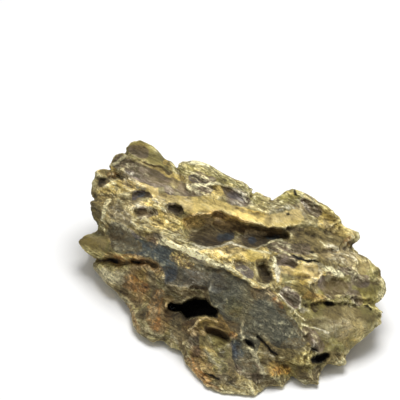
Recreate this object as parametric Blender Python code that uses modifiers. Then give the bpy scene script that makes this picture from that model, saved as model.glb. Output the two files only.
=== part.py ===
"""Dragon stone: one loose piece of weathered, layered clay rock, lying on a flat patch of its underside.

Metres, +Z up. X runs along the bedding, which is the stone's length. The origin is on the floor
below the middle of the stone's box. The stone is blocked out as a hull of corner points, and its
ledges, hollows, cracks and caves are then carved into it from its display side. Points on that side
are drawn in millimetres: u to the right, v up, as seen along DISPLAY_AZIMUTH and DISPLAY_ELEVATION.
"""

import math

import bmesh
import bpy
import numpy as np
from mathutils import Vector, noise

MM = 0.001

# The display side: where a viewer stands to see the slate face and the top bed together.
DISPLAY_AZIMUTH = math.radians(37)
DISPLAY_ELEVATION = math.radians(40)
# Middle of the finished stone's box, from the floor point that is drawn at u 0, v 0.
BOX_MIDDLE = (-0.06105, 0.0694, 0.0)

VOXEL = 1.9 * MM  # grid on which the hull and the carved stone are meshed
MOST_TRIANGLES = 9600
SUNK = 0.8  # mm that the carved stone is lowered before what is below the floor is cut off

# Corners of the block on the display side, (u, v, height above the floor) in millimetres.
FOOT = [
    (57, 10, 3), (30, 7, 2), (5, 2, 1), (-16, 11, 2), (-30, 27, 4), (-50, 37, 4),
    (-66, 55, 6), (-80, 73, 8), (-90, 84, 10), (-97, 95, 15), (-99, 100, 22), (-97, 105, 27),
    (75, 24, 8),
]
SLATE_EDGE = [(-75, 116, 50), (-45, 103, 56), (-20, 92, 58), (0, 86, 57), (17, 73, 52), (38, 58, 45)]
TOP_EDGE = [
    (-91, 128, 45), (-88, 147, 62), (-72, 156, 70), (-58, 166, 75), (-25, 154, 76), (0, 143, 74),
    (15, 136, 72), (40, 135, 70), (60, 127, 64), (75, 113, 58), (83, 107, 54),
]
RIGHT_END = [(98, 85, 42), (102, 73, 34), (97, 48, 22), (85, 36, 14)]
# Corners that the display side hides, (along the drawing's u, away from the viewer, height).
BACK = [
    (-98, 137, 30), (-72, 176, 34), (-20, 163, 36), (22, 143, 32), (60, 126, 28), (90, 92, 20),
]
UNDERSIDE = [(-84, 128, 0), (-58, 162, 0), (-20, 152, 0), (20, 132, 0), (54, 112, 0), (82, 74, 0)]

# Outline of the stone on the display side, clockwise from its left tip.
OUTLINE = [
    (-99, 101), (-94, 106), (-86, 109), (-87.5, 112), (-91, 120), (-91, 136), (-87, 148), (-79, 150),
    (-75, 157), (-68, 161), (-64, 166), (-58, 168), (-49, 164), (-42, 157), (-37.5, 154), (-36, 150),
    (-31, 153), (-22, 154), (-14, 152), (-8, 148), (0, 143), (8, 140), (15, 135), (22, 131), (29, 129),
    (33, 133), (40, 136), (47, 134), (57, 128), (64, 124), (70, 118), (74, 112), (84, 108), (85, 102),
    (79, 98), (88, 92), (97, 85), (98, 80), (101, 76), (101, 69), (99, 63), (94.5, 60), (101, 57),
    (98.5, 53.5), (98.5, 50), (96.5, 47), (88, 39.5), (78, 32), (75, 27), (77, 23), (71, 20), (62, 22),
    (59, 18), (57, 9),
    (46, 9), (44, 12), (41, 13), (38, 12.5), (36, 10), (34, 8), (30, 8), (24, 8), (16, 2), (5, 3),
    (-6, 4), (-16, 8), (-23, 16), (-29, 23), (-32, 31), (-38, 33), (-43, 37), (-50, 36), (-58, 41), (-63, 48),
    (-65, 58), (-73, 67), (-80, 73), (-85, 79), (-89, 83), (-89, 90), (-96, 95),
]
OUTLINE_CENTRE = (-8, 84)
EDGE_LOSS = 0.5  # mm that the meshing takes off the edge afterwards


def unit(vector):
    vector = np.asarray(vector, float)
    return vector / np.linalg.norm(vector)


RIGHT = np.array((math.cos(DISPLAY_AZIMUTH), math.sin(DISPLAY_AZIMUTH), 0))
AWAY = np.array((-math.sin(DISPLAY_AZIMUTH), math.cos(DISPLAY_AZIMUTH), 0))
UP = np.array((0.0, 0.0, 1.0))
DRAWN_UP = math.sin(DISPLAY_ELEVATION) * AWAY + math.cos(DISPLAY_ELEVATION) * UP
TOWARD = math.sin(DISPLAY_ELEVATION) * UP - math.cos(DISPLAY_ELEVATION) * AWAY

# Ledges: (step, reach above, reach below, line). The side to the left of the line's direction
# stands proud; a negative step sets it back instead.
LEDGES = [
    (3.5, 7, 6, [(-72, 156), (-62, 154), (-55, 151.5), (-47, 149.5), (-40, 146.5), (-25, 140)]),
    (4.0, 6, 5, [(-31, 143), (-25, 138.5), (-20, 136.5), (-10, 137), (0, 137), (10, 130), (18, 127)]),
    (3.5, 6, 6, [(-88, 134), (-75, 137), (-65, 138.5), (-55, 136.5), (-40, 131), (-24, 130)]),
    (2.5, 6, 5, [(-24, 130), (-10, 127), (2, 124), (16, 120), (30, 118), (44, 119)]),
    (12.0, 12, 11, [
        (-33, 115), (-22, 117.5), (-15, 118.5), (-9, 120), (-5, 120), (0, 117.5), (10, 113.5),
        (18, 112), (25, 110), (32, 109.5), (41, 111.5),
    ]),
    (2.0, 9, 4, [(32, 110.5), (44, 112), (55, 112), (64, 109.5), (72, 105.5), (82, 103)]),
    (4.5, 5, 7, [
        (-50, 103), (-42, 101), (-30, 94.5), (-22, 90.5), (-8, 85), (0, 82.5), (8, 77), (15, 72),
        (31, 70),
    ]),
    (2.0, 5, 3, [(-2, 89), (4, 88.5), (10, 88), (16, 88), (25, 90)]),
    (-4.0, 5, 5, [(31, 103.5), (41, 100), (52, 96), (64, 90.5), (74, 88)]),
    (4.0, 6, 4, [(33, 84.5), (41, 80.5), (50, 79), (56, 76), (60, 72)]),
    (3.0, 6, 5, [(57, 79), (63, 78), (70, 78), (76, 76.5)]),
    (3.5, 8, 4, [(46, 60.5), (56, 62), (66, 62), (76, 61), (86, 60.5), (90, 58.5), (93, 56)]),
    (6.0, 6, 6, [(-90, 91.5), (-82, 90.5), (-68, 89.5), (-54, 90.5), (-49, 89.5), (-45, 84)]),
    (2.0, 6, 5, [(-75, 90), (-78, 97), (-85, 106)]),
    (3.5, 8, 6, [(-14, 84), (-13.5, 75), (-14, 70), (-12.5, 64), (-9, 57), (-5, 52)]),
    (3.5, 5, 4, [(26, 26), (33, 26), (40, 24.5), (47, 21.5), (55, 20)]),
    (1.6, 2.5, 2.5, [(-17, 38.5), (-12, 36), (-5, 36), (1, 39)]),
    (1.4, 2.5, 2.5, [(-15, 33.5), (-7, 30.5), (1, 33)]),
    (2.0, 5, 4, [(37, 52), (44, 46.5), (52, 40), (57, 33)]),
    (1.5, 3, 3, [(40, 51), (56, 50.5), (72, 51), (90, 50)]),
]
# Crests: (height, half width, line).
CRESTS = [
    (1.2, 3.0, [(-66, 124), (-60, 125), (-54, 127.5), (-46, 130), (-36, 129.5), (-30, 125)]),
    (4.0, 2.6, [
        (-46, 104), (-36, 100), (-27, 97), (-17, 93), (-9, 95), (-1, 92.5), (8, 97), (18, 95), (27, 93),
    ]),
    (2.5, 1.8, [
        (-26, 99.5), (-16, 96), (-7, 97.5), (0, 100.5), (5, 99.5), (10, 96.5), (16, 96), (21, 98),
        (27, 100.5), (34, 102),
    ]),
    (1.2, 3.5, [(28, 93), (29, 86), (29, 78), (29, 70)]),
    (1.6, 1.8, [(0, 81), (7, 78), (13, 73), (18, 71)]),
    (5.0, 3.2, [
        (-28, 43), (-22, 48), (-18, 51), (-14, 51.8), (-8, 49.5), (-1, 47), (2.5, 42), (2.5, 34),
    ]),
    (3.5, 4, [(-78, 130), (-80, 122), (-84, 114)]),
    (3.0, 3.5, [(31, 129), (40, 133.5), (46, 132), (62, 123.5), (68, 118), (74, 111), (82, 105)]),
    (2.5, 2.5, [(32, 89), (44, 87.5), (58, 86), (66, 84), (73, 79)]),
    (1.6, 1.2, [(32.5, 67), (37, 60), (43, 54), (47, 50)]),
    (1.5, 1.4, [(31.5, 70.5), (41, 70), (45, 65), (45.5, 57)]),
    (2.0, 1.6, [(8, 51), (8.5, 48), (6.5, 45), (6.5, 42), (9, 38)]),
    (1.2, 2.4, [(13, 32), (17, 27), (21, 22), (23, 14)]),
    (1.6, 1.2, [(17.5, 38.5), (19, 41), (22.5, 38.5), (25, 35), (31, 29)]),
    (1.5, 1.5, [(40, 93), (47, 91.5), (58, 89.5), (68, 86)]),
]
# What is carved: (depth, softness, chain of (u, v, radius)). Softness 1 is a bowl, and a low one
# a hole with steep walls. A negative depth is a swelling.
CARVED = [
    (6, 1.0, [(-66, 72, 14), (-44, 62, 15), (-24, 62, 14)]),
    (-6, 1.0, [(-10, 36, 17), (-6, 22, 15)]),
    (-5, 1.0, [(64, 47, 16), (84, 50, 13)]),
    (-4, 1.0, [(50, 92, 14), (70, 96, 12)]),
    (3, 1.0, [(46, 53, 8), (54, 42, 9), (60, 34, 7)]),
    (3, 1.0, [(14, 24, 10), (34, 22, 9)]),
    (9, 1.0, [(-24, 108, 8), (-12, 107, 12.5), (2, 105.5, 9), (14, 104.5, 8), (26, 104.5, 7), (37, 104, 4)]),
    (5, 1.0, [(-38, 57, 6), (-31, 54, 8), (-23, 53, 6)]),
    (2.5, 1.0, [(-27, 142.5, 4.2), (-20, 140.5, 4.4), (-15, 139, 3)]),
    (5, 1.0, [(-85, 140, 4), (-79, 141.5, 4), (-72, 143.5, 3)]),
    (4.5, 1.0, [(-62, 130.5, 4.2), (-57, 131.5, 4.8), (-53, 130.5, 3.2)]),
    (3.5, 1.0, [(-61, 119.5, 4), (-57, 120.5, 5), (-51, 118.5, 3.5)]),
    (5.5, 0.9, [(-37.5, 122.5, 4.6), (-34, 121.5, 4.6)]),
    (2.5, 1.0, [(-1, 133, 4), (3, 130, 5.5), (9, 127, 4)]),
    (1.3, 1.0, [(5, 85.5, 4.5), (10, 82.5, 5.5), (14, 79.5, 4.5)]),
    (5.5, 0.9, [(21.5, 84, 4.6), (22.5, 81, 5.2)]),
    (3, 1.0, [(22, 79, 5.5), (20.5, 75.5, 4.5)]),
    (-2.5, 1.0, [(6, 93, 4), (14, 93, 5), (22, 92, 4)]),
    (-2, 1.0, [(-14, 92.5, 4), (-6, 91.5, 4)]),
    (2.5, 1.0, [(49, 126, 3.5), (53.5, 122.5, 5), (58, 120, 4)]),
    (2.5, 1.0, [(40, 107, 4), (46, 105.5, 5), (53, 104, 4)]),
    (4, 0.8, [(53, 95, 1.3), (54.5, 95, 1.2)]),
    (1.8, 1.0, [(61, 73, 4.5), (68, 72, 5.5), (74, 72.5, 4)]),
    (2.5, 1.0, [(37, 66, 5), (41, 62, 4)]),
    (2, 1.0, [(82, 75.5, 4), (88, 75, 3.6), (95, 74, 2.5)]),
    (7, 1.0, [(-9, 37.5, 11), (-8, 33.5, 10.5), (-6.5, 29.5, 8.5)]),
    (7, 1.0, [(-13, 43.5, 3), (-8, 42.5, 4.5), (-4, 40.5, 5), (-2.5, 38, 3.5)]),
    (8, 0.7, [(55.5, 25, 3.6), (58.5, 26, 4.6), (62.5, 28, 3)]),
    (28, 0.3, [
        (-38.5, 59.5, 1.8), (-34, 58, 3.4), (-28, 57, 6), (-23, 58.4, 7), (-17, 58.4, 6.4),
        (-10, 55.6, 3),
    ]),
    (6, 1.0, [
        (-86, 88.5, 2.6), (-77, 88.3, 3.2), (-70, 87.3, 2.6), (-62, 88, 3), (-54, 87.5, 2.8),
        (-48, 84.5, 2.6),
    ]),
    (2.8, 1.0, [(48, 60.5, 1.2), (62, 61.5, 1.8), (74, 61, 1.3), (86, 60.3, 1.6), (91, 57.5, 1.8)]),
    (6, 0.9, [(63, 61, 2.8), (65.5, 61.3, 2.6)]),
    (3, 1.0, [(-74, 70, 3.5), (-66, 66, 3.5), (-60, 61, 3.5), (-56, 54, 3.5)]),
    (5, 0.9, [(-25, 71.5, 1.8), (-20, 71, 2.4), (-15.5, 69.5, 2.0)]),
    (5, 0.9, [(9, 38.5, 1.4), (12, 35.5, 2.1), (15, 32.5, 1.4)]),
    (4, 0.9, [(18.5, 39.5, 1.2), (21, 37, 1.6), (24, 33.5, 1.4), (27, 30.5, 1.7), (31, 27, 1.2)]),
    (4, 0.9, [(39, 92, 1.4), (44, 90.3, 2.0), (50, 89, 1.7), (60, 87.8, 1.2)]),
    (3, 0.8, [(69, 28, 2), (71, 26.5, 1.8)]),
    (4, 0.6, [(51, 32, 0.9), (55, 31.3, 1.2)]),
    (-2.5, 1.0, [(-16, 20, 5), (-9, 19, 5)]),
    (4, 0.5, [(-17, 15.3, 1), (-12, 14.3, 1.4), (-7, 12, 1)]),
]
# The broken faces that stayed smooth, as chains of (u, v, radius).
SLATE = [
    [
        (-76, 120, 6), (-71, 108, 9), (-55, 97, 10), (-36, 86, 11), (-22, 82, 10), (-12, 76, 9),
        (-2, 68, 12), (12, 60, 14), (26, 52, 14), (36, 44, 10),
    ],
    [(3, 44, 8), (5, 34, 7), (13, 30, 8), (30, 35, 8), (44, 34, 7)],
]
WORN = [
    [(54, 52, 11), (64, 48, 14), (74, 48, 13), (86, 50, 11)], [(64, 34, 8), (76, 38, 8)],
    [(-6, 22, 9), (10, 18, 8)], [(-78, 82, 9), (-60, 66, 13), (-44, 50, 10)],
    [(-52, 136, 4), (-24, 126, 5), (-6, 124, 4), (24, 114, 3)], [(36, 80, 6), (52, 82, 6)],
    [(-24, 108, 8), (-10, 107, 10), (14, 104, 8), (36, 103, 4)], [(62, 73, 7), (74, 72, 6), (88, 72, 7)],
    [(-94, 101, 5), (-84, 99, 8)], [(48, 109, 6), (56, 109, 6)], [(50, 104, 7), (66, 98, 8)],
    [(-60, 162, 6), (-48, 156, 6)],
    [(-9, 40, 12), (-7, 30, 10)], [(-58, 130, 8), (-57, 120, 7)],
    [(-38, 40, 6), (-30, 42, 6)], [(-2, 113, 5), (14, 110, 5), (30, 108, 4)],
    [(-66, 150, 5), (-52, 144, 8), (-34, 138, 7)], [(-78, 122, 7), (-70, 118, 6)],
    [(6, 92, 5), (20, 92, 5), (14, 82, 9)], [(88, 82, 6), (94, 72, 6)], [(46, 118, 5), (30, 116, 5)],
]
# Rims that are calm all round, as chains of (u, v, radius).
CALM = [
    [(-64, 162, 6), (-50, 161, 7), (-37, 151, 8), (-24, 150, 7), (-8, 146, 6), (8, 138, 6)],
    [(20, 132, 6), (30, 129, 6), (40, 133, 6), (62, 124, 6)], [(84, 94, 6), (100, 78, 7), (97, 66, 6)],
    [(97, 48, 6), (86, 38, 6), (72, 24, 7)], [(38, 14, 8), (56, 14, 8)],
    [(-88, 86, 6), (-76, 70, 8), (-66, 56, 7), (-58, 42, 6)], [(-98, 101, 8), (-88, 108, 6)],
]
# Shares of the layers and scallops that are gone: on worn faces, on smooth ones, along calm rims
# and on the whole display side.
WORN_LAYERS, WORN_SCALLOPS = 0.9, 0.75
SMOOTH_SHARE = 0.85
CALM_SHARE = 0.7
DISPLAY_CALM = 0.3

# Bedding: layers lie along X and are stacked along this direction.
STACKED = (0.0, -0.34, 0.94)
LAYER = 13.0  # mm from one ledge to the next
LAYER_STEP = 5.0  # mm
SCALLOP = (42.0, 11.5)  # mm along and across the bedding
SCALLOP_DEPTH = 12.0  # mm
SMALL_SCALLOP = (16.0, 4.6)
SMALL_SCALLOP_DEPTH = 2.6
GRAIN = (40.0, 6.0)  # mm along and across the bedding
GRAIN_HEIGHT = 0.9  # mm
ROUNDING = 3.5 * MM  # how far the corners of the hull are worn
HIDDEN_PITS = 44
PIT_SEED = 7


def smoothstep(low, high, x):
    """0 at low, 1 at high and a smooth rise between them."""
    t = np.clip((x - low) / (high - low), 0, 1)
    return t * t * (3 - 2 * t)


def place(u, v, height):
    """Where a point drawn at (u, v) lies, given its height above the floor, all in millimetres."""
    away = (v - height * math.cos(DISPLAY_ELEVATION)) / math.sin(DISPLAY_ELEVATION)
    return on_floor_plan(u, away, height)


def on_floor_plan(u, away, height):
    return MM * (u * RIGHT + away * AWAY + height * UP)


def drawn(points):
    """(u, v) of each point, in millimetres."""
    return np.stack((points @ RIGHT, points @ DRAWN_UP), axis=1) / MM


def to_segment(uv, start, end):
    """(offset from the nearest point of the segment, share of the segment there) of each point."""
    start, along = np.array(start, float), np.subtract(end, start, dtype=float)
    share = np.clip((uv - start) @ along / (along @ along), 0, 1)
    return uv - start - share[:, None] * along, share


def chain_field(uv, chain):
    """(distance to the chain over its radius there, height above the chain over that radius)."""
    field, rise = np.full(len(uv), np.inf), np.zeros(len(uv))
    for (*start, first), (*end, last) in zip(chain, chain[1:]):
        offset, share = to_segment(uv, start, end)
        radius = first + share * (last - first)
        distance = np.linalg.norm(offset, axis=1) / radius
        rise = np.where(distance < field, offset[:, 1] / radius, rise)
        field = np.minimum(field, distance)
    return field, rise


def line_field(uv, line):
    """(signed distance to the line, taper that falls to 0 at its ends) of each point."""
    lengths = np.linalg.norm(np.diff(np.array(line, float), axis=0), axis=1)
    begun = np.concatenate(([0], np.cumsum(lengths)))
    distance, taper = np.full(len(uv), np.inf), np.zeros(len(uv))
    for start, end, length, before in zip(line, line[1:], lengths, begun):
        offset, share = to_segment(uv, start, end)
        along = np.subtract(end, start, dtype=float)
        side = np.sign(along[0] * (uv[:, 1] - start[1]) - along[1] * (uv[:, 0] - start[0]))
        away = np.linalg.norm(offset, axis=1)
        nearer = away < np.abs(distance)
        distance = np.where(nearer, side * away, distance)
        travelled = (before + share * length) / begun[-1]
        taper = np.where(nearer, np.sqrt(np.sin(np.pi * np.clip(travelled, 0, 1))), taper)
    return distance, taper


def ledge_lift(uv, step, above, below, line):
    distance, taper = line_field(uv, line)
    reach = np.where(distance > 0, above, below)
    return 0.5 * step * taper * np.clip(distance / 1.2, -1, 1) * np.exp(-np.abs(distance) / reach)


def crest_lift(uv, height, half_width, line):
    distance, taper = line_field(uv, line)
    return taper * height * np.exp(-np.abs(distance) / half_width)


def carved_lift(uv, depth, softness, chain):
    """A hollow is deepest below its upper lip, which overhangs it."""
    field, rise = chain_field(uv, chain)
    lip = 0.45 * softness * np.clip(rise, -1, 1) if depth > 0 else 0
    return -depth * (1 + lip) * (1 - smoothstep(1 - softness, 1, field))


def within(uv, chains):
    """1 inside the chains and 0 outside them."""
    field = np.min([chain_field(uv, chain)[0] for chain in chains], axis=0)
    return 1 - smoothstep(0.75, 1.15, field)


def warped(uv):
    """The drawn points, shifted a little by noise, which makes the lines drawn there irregular."""
    level = MM * np.column_stack((uv, np.zeros(len(uv))))
    shifts = [
        1.8 * noise_at(level, (9, 9, 9), seed) + 0.8 * noise_at(level, (3.5, 3.5, 3.5), seed)
        for seed in (8, 9)
    ]
    return uv + np.stack(shifts, axis=1)


def display_lift(uv):
    """How far towards the viewer each point of the display side is moved, in millimetres."""
    uv = warped(uv)
    lift = sum(ledge_lift(uv, *ledge) for ledge in LEDGES)
    lift += sum(crest_lift(uv, *crest) for crest in CRESTS)
    return lift + sum(carved_lift(uv, *hole) for hole in CARVED)


def noise_at(points, scale, seed=0):
    """Smooth noise between -1 and 1 at each point, its blobs `scale` millimetres wide along X, Y, Z."""
    offset = Vector((17.0 * seed, 5.0 * seed, 11.0 * seed))
    scaled = points / (MM * np.array(scale))
    return np.array([noise.noise(Vector(p) + offset) for p in scaled])


def layers(points):
    """Saw-tooth ledges along the bedding, wavy and broken, in millimetres out of the surface."""
    height = points @ unit(STACKED) / MM / LAYER
    height += 0.9 * noise_at(points, (70, 26, 26), 1) + 0.35 * noise_at(points, (24, 9, 9), 2)
    share = height % 1.0
    strength = 0.65 + 0.5 * noise_at(points, (60, 40, 40), 3)
    return LAYER_STEP * strength * ((1 - share) ** 1.5 - 0.4) * smoothstep(0, 0.06, share)


def bowls(points, size, seed):
    """Height over a pattern of long bowls that meet in crests: 0 in a bowl, about 0.6 on a crest."""
    along, across = size
    warp = np.stack([noise_at(points, (0.8 * along,) * 3, seed + i) for i in range(3)], axis=1)
    cells = points / MM / np.array((along, across, across)) + 0.5 * warp + 3.7 * seed
    return np.array([noise.voronoi(Vector(cell))[0][0] for cell in cells]) ** 1.5


def grain(points):
    """Thin wavy crests along the bedding."""
    along, across = GRAIN
    warp = 0.4 * noise_at(points, (25, 25, 25), 12)
    stretched = points / MM / np.array((along, across, across)) + warp[:, None]
    return np.array([noise.ridged_multi_fractal(Vector(p), 0.9, 2.1, 4, 1.0, 2.0) for p in stretched])


def texture(points):
    """Scallops and grain of the weathered surface, in millimetres out of it."""
    lift = SCALLOP_DEPTH * (bowls(points, SCALLOP, 4) - 0.25)
    lift += SMALL_SCALLOP_DEPTH * (bowls(points, SMALL_SCALLOP, 7) - 0.25)
    return lift + GRAIN_HEIGHT * (grain(points) - 1.0)


def hidden_pits(points, middle):
    """Pits on the sides that the display side hides: each is drilled from outside towards the middle."""
    dice = np.random.default_rng(PIT_SEED)
    depth = np.zeros(len(points))
    from_middle = (points - middle) / MM
    for _ in range(HIDDEN_PITS):
        way = unit(dice.normal(size=3) * (1.0, 1.0, 0.6) - 0.9 * TOWARD)
        radius, deep = dice.uniform(2.8, 6.5), dice.uniform(4, 11)
        forward = from_middle @ way
        across = from_middle - forward[:, None] * way
        across[:, 0] *= 0.7
        field = np.linalg.norm(across, axis=1) / radius
        depth = np.maximum(depth, np.where(forward > 0, deep * (1 - smoothstep(0.35, 1, field)), 0))
    return depth


def with_modifier(obj, kind, **settings):
    """Apply one modifier to the object's mesh."""
    modifier = obj.modifiers.new(kind.title(), kind)
    for name, value in settings.items():
        setattr(modifier, name, value)
    evaluated = obj.evaluated_get(bpy.context.evaluated_depsgraph_get())
    old, obj.data = obj.data, bpy.data.meshes.new_from_object(evaluated)
    obj.modifiers.clear()
    bpy.data.meshes.remove(old)


def vertex_array(mesh, attribute="co"):
    flat = np.empty(3 * len(mesh.vertices), np.float32)
    source = mesh.vertices if attribute == "co" else mesh.vertex_normals
    source.foreach_get("co" if attribute == "co" else "vector", flat)
    return flat.reshape(-1, 3).astype(float)


def set_vertices(mesh, points):
    mesh.vertices.foreach_set("co", points.astype(np.float32).ravel())
    mesh.update()


def rough_block():
    """The stone's hull, with its front and back corners, as a new object."""
    corners = [place(*corner) for corner in FOOT + SLATE_EDGE + TOP_EDGE + RIGHT_END]
    corners += [on_floor_plan(*corner) for corner in BACK + UNDERSIDE]
    bm = bmesh.new()
    for corner in corners:
        bm.verts.new(corner)
    hull = bmesh.ops.convex_hull(bm, input=bm.verts)
    loose = [item for item in hull["geom_interior"] if isinstance(item, bmesh.types.BMVert)]
    bmesh.ops.delete(bm, geom=loose, context="VERTS")
    bmesh.ops.recalc_face_normals(bm, faces=bm.faces)
    mesh = bpy.data.meshes.new("stone")
    bm.to_mesh(mesh)
    bm.free()
    return bpy.data.objects.new("stone", mesh)


def smooth(mesh, rounds):
    bm = bmesh.new()
    bm.from_mesh(mesh)
    for _ in range(rounds):
        bmesh.ops.smooth_vert(
            bm, verts=bm.verts, factor=0.5, use_axis_x=True, use_axis_y=True, use_axis_z=True
        )
    bm.to_mesh(mesh)
    bm.free()
    mesh.update()


def outline_reach(angles):
    """Distance from OUTLINE_CENTRE to the drawn outline, in each direction."""
    corners = np.array(OUTLINE, float) - OUTLINE_CENTRE
    reach = np.zeros(len(angles))
    for i, angle in enumerate(angles):
        ray = np.array((math.cos(angle), math.sin(angle)))
        ahead = corners @ ray
        beside = corners @ np.array((-ray[1], ray[0]))
        for here, there in zip(range(-1, len(corners) - 1), range(len(corners))):
            if beside[here] * beside[there] <= 0 and beside[here] != beside[there]:
                share = beside[here] / (beside[here] - beside[there])
                reach[i] = max(reach[i], ahead[here] + share * (ahead[there] - ahead[here]))
    return reach


def fit_outline(points, most, shift=0.0):
    """Stretch the stone about the outline's centre, until its edge is drawn along OUTLINE.

    No direction is stretched or pressed by more than the share `most`. The edge is measured in
    sectors of 2 degrees, turned by `shift` of a sector.
    """
    from_centre = drawn(points) - OUTLINE_CENTRE
    radius = np.linalg.norm(from_centre, axis=1)
    angle = np.arctan2(from_centre[:, 1], from_centre[:, 0])
    steps = 180
    turn = ((angle + math.pi) / (2 * math.pi) * steps - shift) % steps
    widest = np.zeros(steps)
    np.maximum.at(widest, turn.astype(int) % steps, radius)
    middles = (np.arange(steps) + 0.5 + shift) / steps * 2 * math.pi - math.pi
    ratio = np.clip((outline_reach(middles) + EDGE_LOSS) / widest, 1 - most, 1 + most)
    ratio = np.interp(turn, np.arange(-1, steps + 1) + 0.5, np.pad(ratio, 1, mode="wrap"))
    widest = np.interp(turn, np.arange(-1, steps + 1) + 0.5, np.pad(widest, 1, mode="wrap"))
    near_edge = smoothstep(0.45, 0.97, radius / widest)
    move = from_centre * ((ratio - 1) * near_edge)[:, None] * MM
    # Near the floor the stone is stretched along the floor, which leaves it at its height.
    lifted = smoothstep(3, 20, points[:, 2] / MM)[:, None]
    level = AWAY / math.sin(DISPLAY_ELEVATION)
    return points + move[:, :1] * RIGHT + move[:, 1:] * (lifted * DRAWN_UP + (1 - lifted) * level)


def fitted(points, shares):
    """Fit the outline once for each share, with the sectors turned by half of one every other time."""
    for turn, most in enumerate(shares):
        points = fit_outline(points, most, 0.5 * (turn % 2))
    return points


def underside_hollows(points):
    """How far the underside is hollowed between the patches that the stone rests on, in millimetres."""
    behind_foot = smoothstep(40, 60, points @ AWAY / MM)
    return 6 * behind_foot * smoothstep(-0.05, 0.4, noise_at(points, (40, 30, 40), 21))


def weather(mesh):
    """Raise the layers, scallops and pits of the whole stone."""
    points, normals = vertex_array(mesh), vertex_array(mesh, "normal")
    seen = smoothstep(-0.1, 0.35, normals @ TOWARD)
    clear_of_floor = smoothstep(3, 12, points[:, 2] / MM)
    uv = warped(drawn(points))
    worn = seen * within(uv, WORN)
    lift = layers(points) * (1 - WORN_LAYERS * worn) + texture(points) * (1 - WORN_SCALLOPS * worn)
    lift *= (1 - SMOOTH_SHARE * seen * within(uv, SLATE)) * (1 - CALM_SHARE * within(uv, CALM))
    lift *= 1 - DISPLAY_CALM * seen
    lift -= hidden_pits(points, points.mean(axis=0)) * (1 - seen)
    moved = points + MM * (lift * clear_of_floor)[:, None] * normals
    moved[:, 2] += MM * underside_hollows(points) * smoothstep(-0.4, -0.8, normals[:, 2])
    set_vertices(mesh, moved)


def carve_display_side(mesh):
    points, normals = vertex_array(mesh), vertex_array(mesh, "normal")
    facing = smoothstep(0.0, 0.35, normals @ TOWARD)
    lift = display_lift(drawn(points)) * facing
    set_vertices(mesh, points + MM * lift[:, None] * TOWARD)


def keep_largest_piece(mesh):
    """Remove crumbs and sealed bubbles, which the meshing can leave."""
    bm = bmesh.new()
    bm.from_mesh(mesh)
    waiting, pieces = set(bm.verts), []
    while waiting:
        front = [waiting.pop()]
        piece = list(front)
        while front:
            beside = [edge.other_vert(vert) for vert in front for edge in vert.link_edges]
            front = list({vert for vert in beside if vert in waiting})
            waiting.difference_update(front)
            piece += front
        pieces.append(piece)
    pieces.sort(key=len)
    bmesh.ops.delete(bm, geom=[vert for piece in pieces[:-1] for vert in piece], context="VERTS")
    bm.to_mesh(mesh)
    bm.free()


def cut_flat(obj, collection):
    """Cut off what lies below the floor, which leaves the flat patch that the stone rests on."""
    bpy.ops.mesh.primitive_cube_add(size=1, location=(0, 0, 0.5))
    above_floor = bpy.context.object
    above_floor.name = "above_floor"
    above_floor.hide_render = True
    above_floor.display_type = "WIRE"
    for used in above_floor.users_collection:
        used.objects.unlink(above_floor)
    collection.objects.link(above_floor)
    cut = obj.modifiers.new("Flat patch", "BOOLEAN")
    cut.operation = "INTERSECT"
    cut.solver = "EXACT"
    cut.object = above_floor


def clay_stone():
    material = bpy.data.materials.new("stone")
    material.use_nodes = True
    shader = material.node_tree.nodes["Principled BSDF"]
    shader.inputs["Base Color"].default_value = (0.33, 0.26, 0.13, 1)
    shader.inputs["Roughness"].default_value = 0.85
    shader.inputs["Metallic"].default_value = 0.0
    return material


def new_collection(name):
    collection = bpy.data.collections.new(name)
    bpy.context.scene.collection.children.link(collection)
    return collection


def build():
    for obj in list(bpy.data.objects):
        bpy.data.objects.remove(obj, do_unlink=True)
    parts, cutters = new_collection("dragon stone"), new_collection("cutters")
    stone = rough_block()
    parts.objects.link(stone)

    with_modifier(stone, "REMESH", mode="VOXEL", voxel_size=VOXEL)
    smooth(stone.data, round(2 * (ROUNDING / VOXEL) ** 2))
    set_vertices(stone.data, fitted(vertex_array(stone.data), (0.3, 0.1)))
    smooth(stone.data, round(0.4 * (ROUNDING / VOXEL) ** 2))
    weather(stone.data)
    set_vertices(stone.data, fitted(vertex_array(stone.data), (0.15, 0.08, 0.05)))
    carve_display_side(stone.data)
    set_vertices(stone.data, vertex_array(stone.data) - SUNK * MM * UP - np.array(BOX_MIDDLE))
    with_modifier(stone, "REMESH", mode="VOXEL", voxel_size=VOXEL)
    keep_largest_piece(stone.data)
    share = MOST_TRIANGLES / sum(len(face.vertices) - 2 for face in stone.data.polygons)
    with_modifier(stone, "DECIMATE", ratio=share)
    cut_flat(stone, cutters)
    stone.data.materials.append(clay_stone())


build()
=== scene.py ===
"""Dragon stone: the weathered surface of one loose piece of layered clay rock, its light and its camera.

The stone is blocked out, worn and carved as its solid is, on a finer grid, and then gets thin layers,
flakes, grit and paint. Points on the display side are drawn in millimetres: u to the right, v up, as
seen along DISPLAY_AZIMUTH and DISPLAY_ELEVATION.
"""

import math
from contextlib import contextmanager

import bmesh
import bpy
import numpy as np
from mathutils import Matrix, Vector, noise


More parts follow.
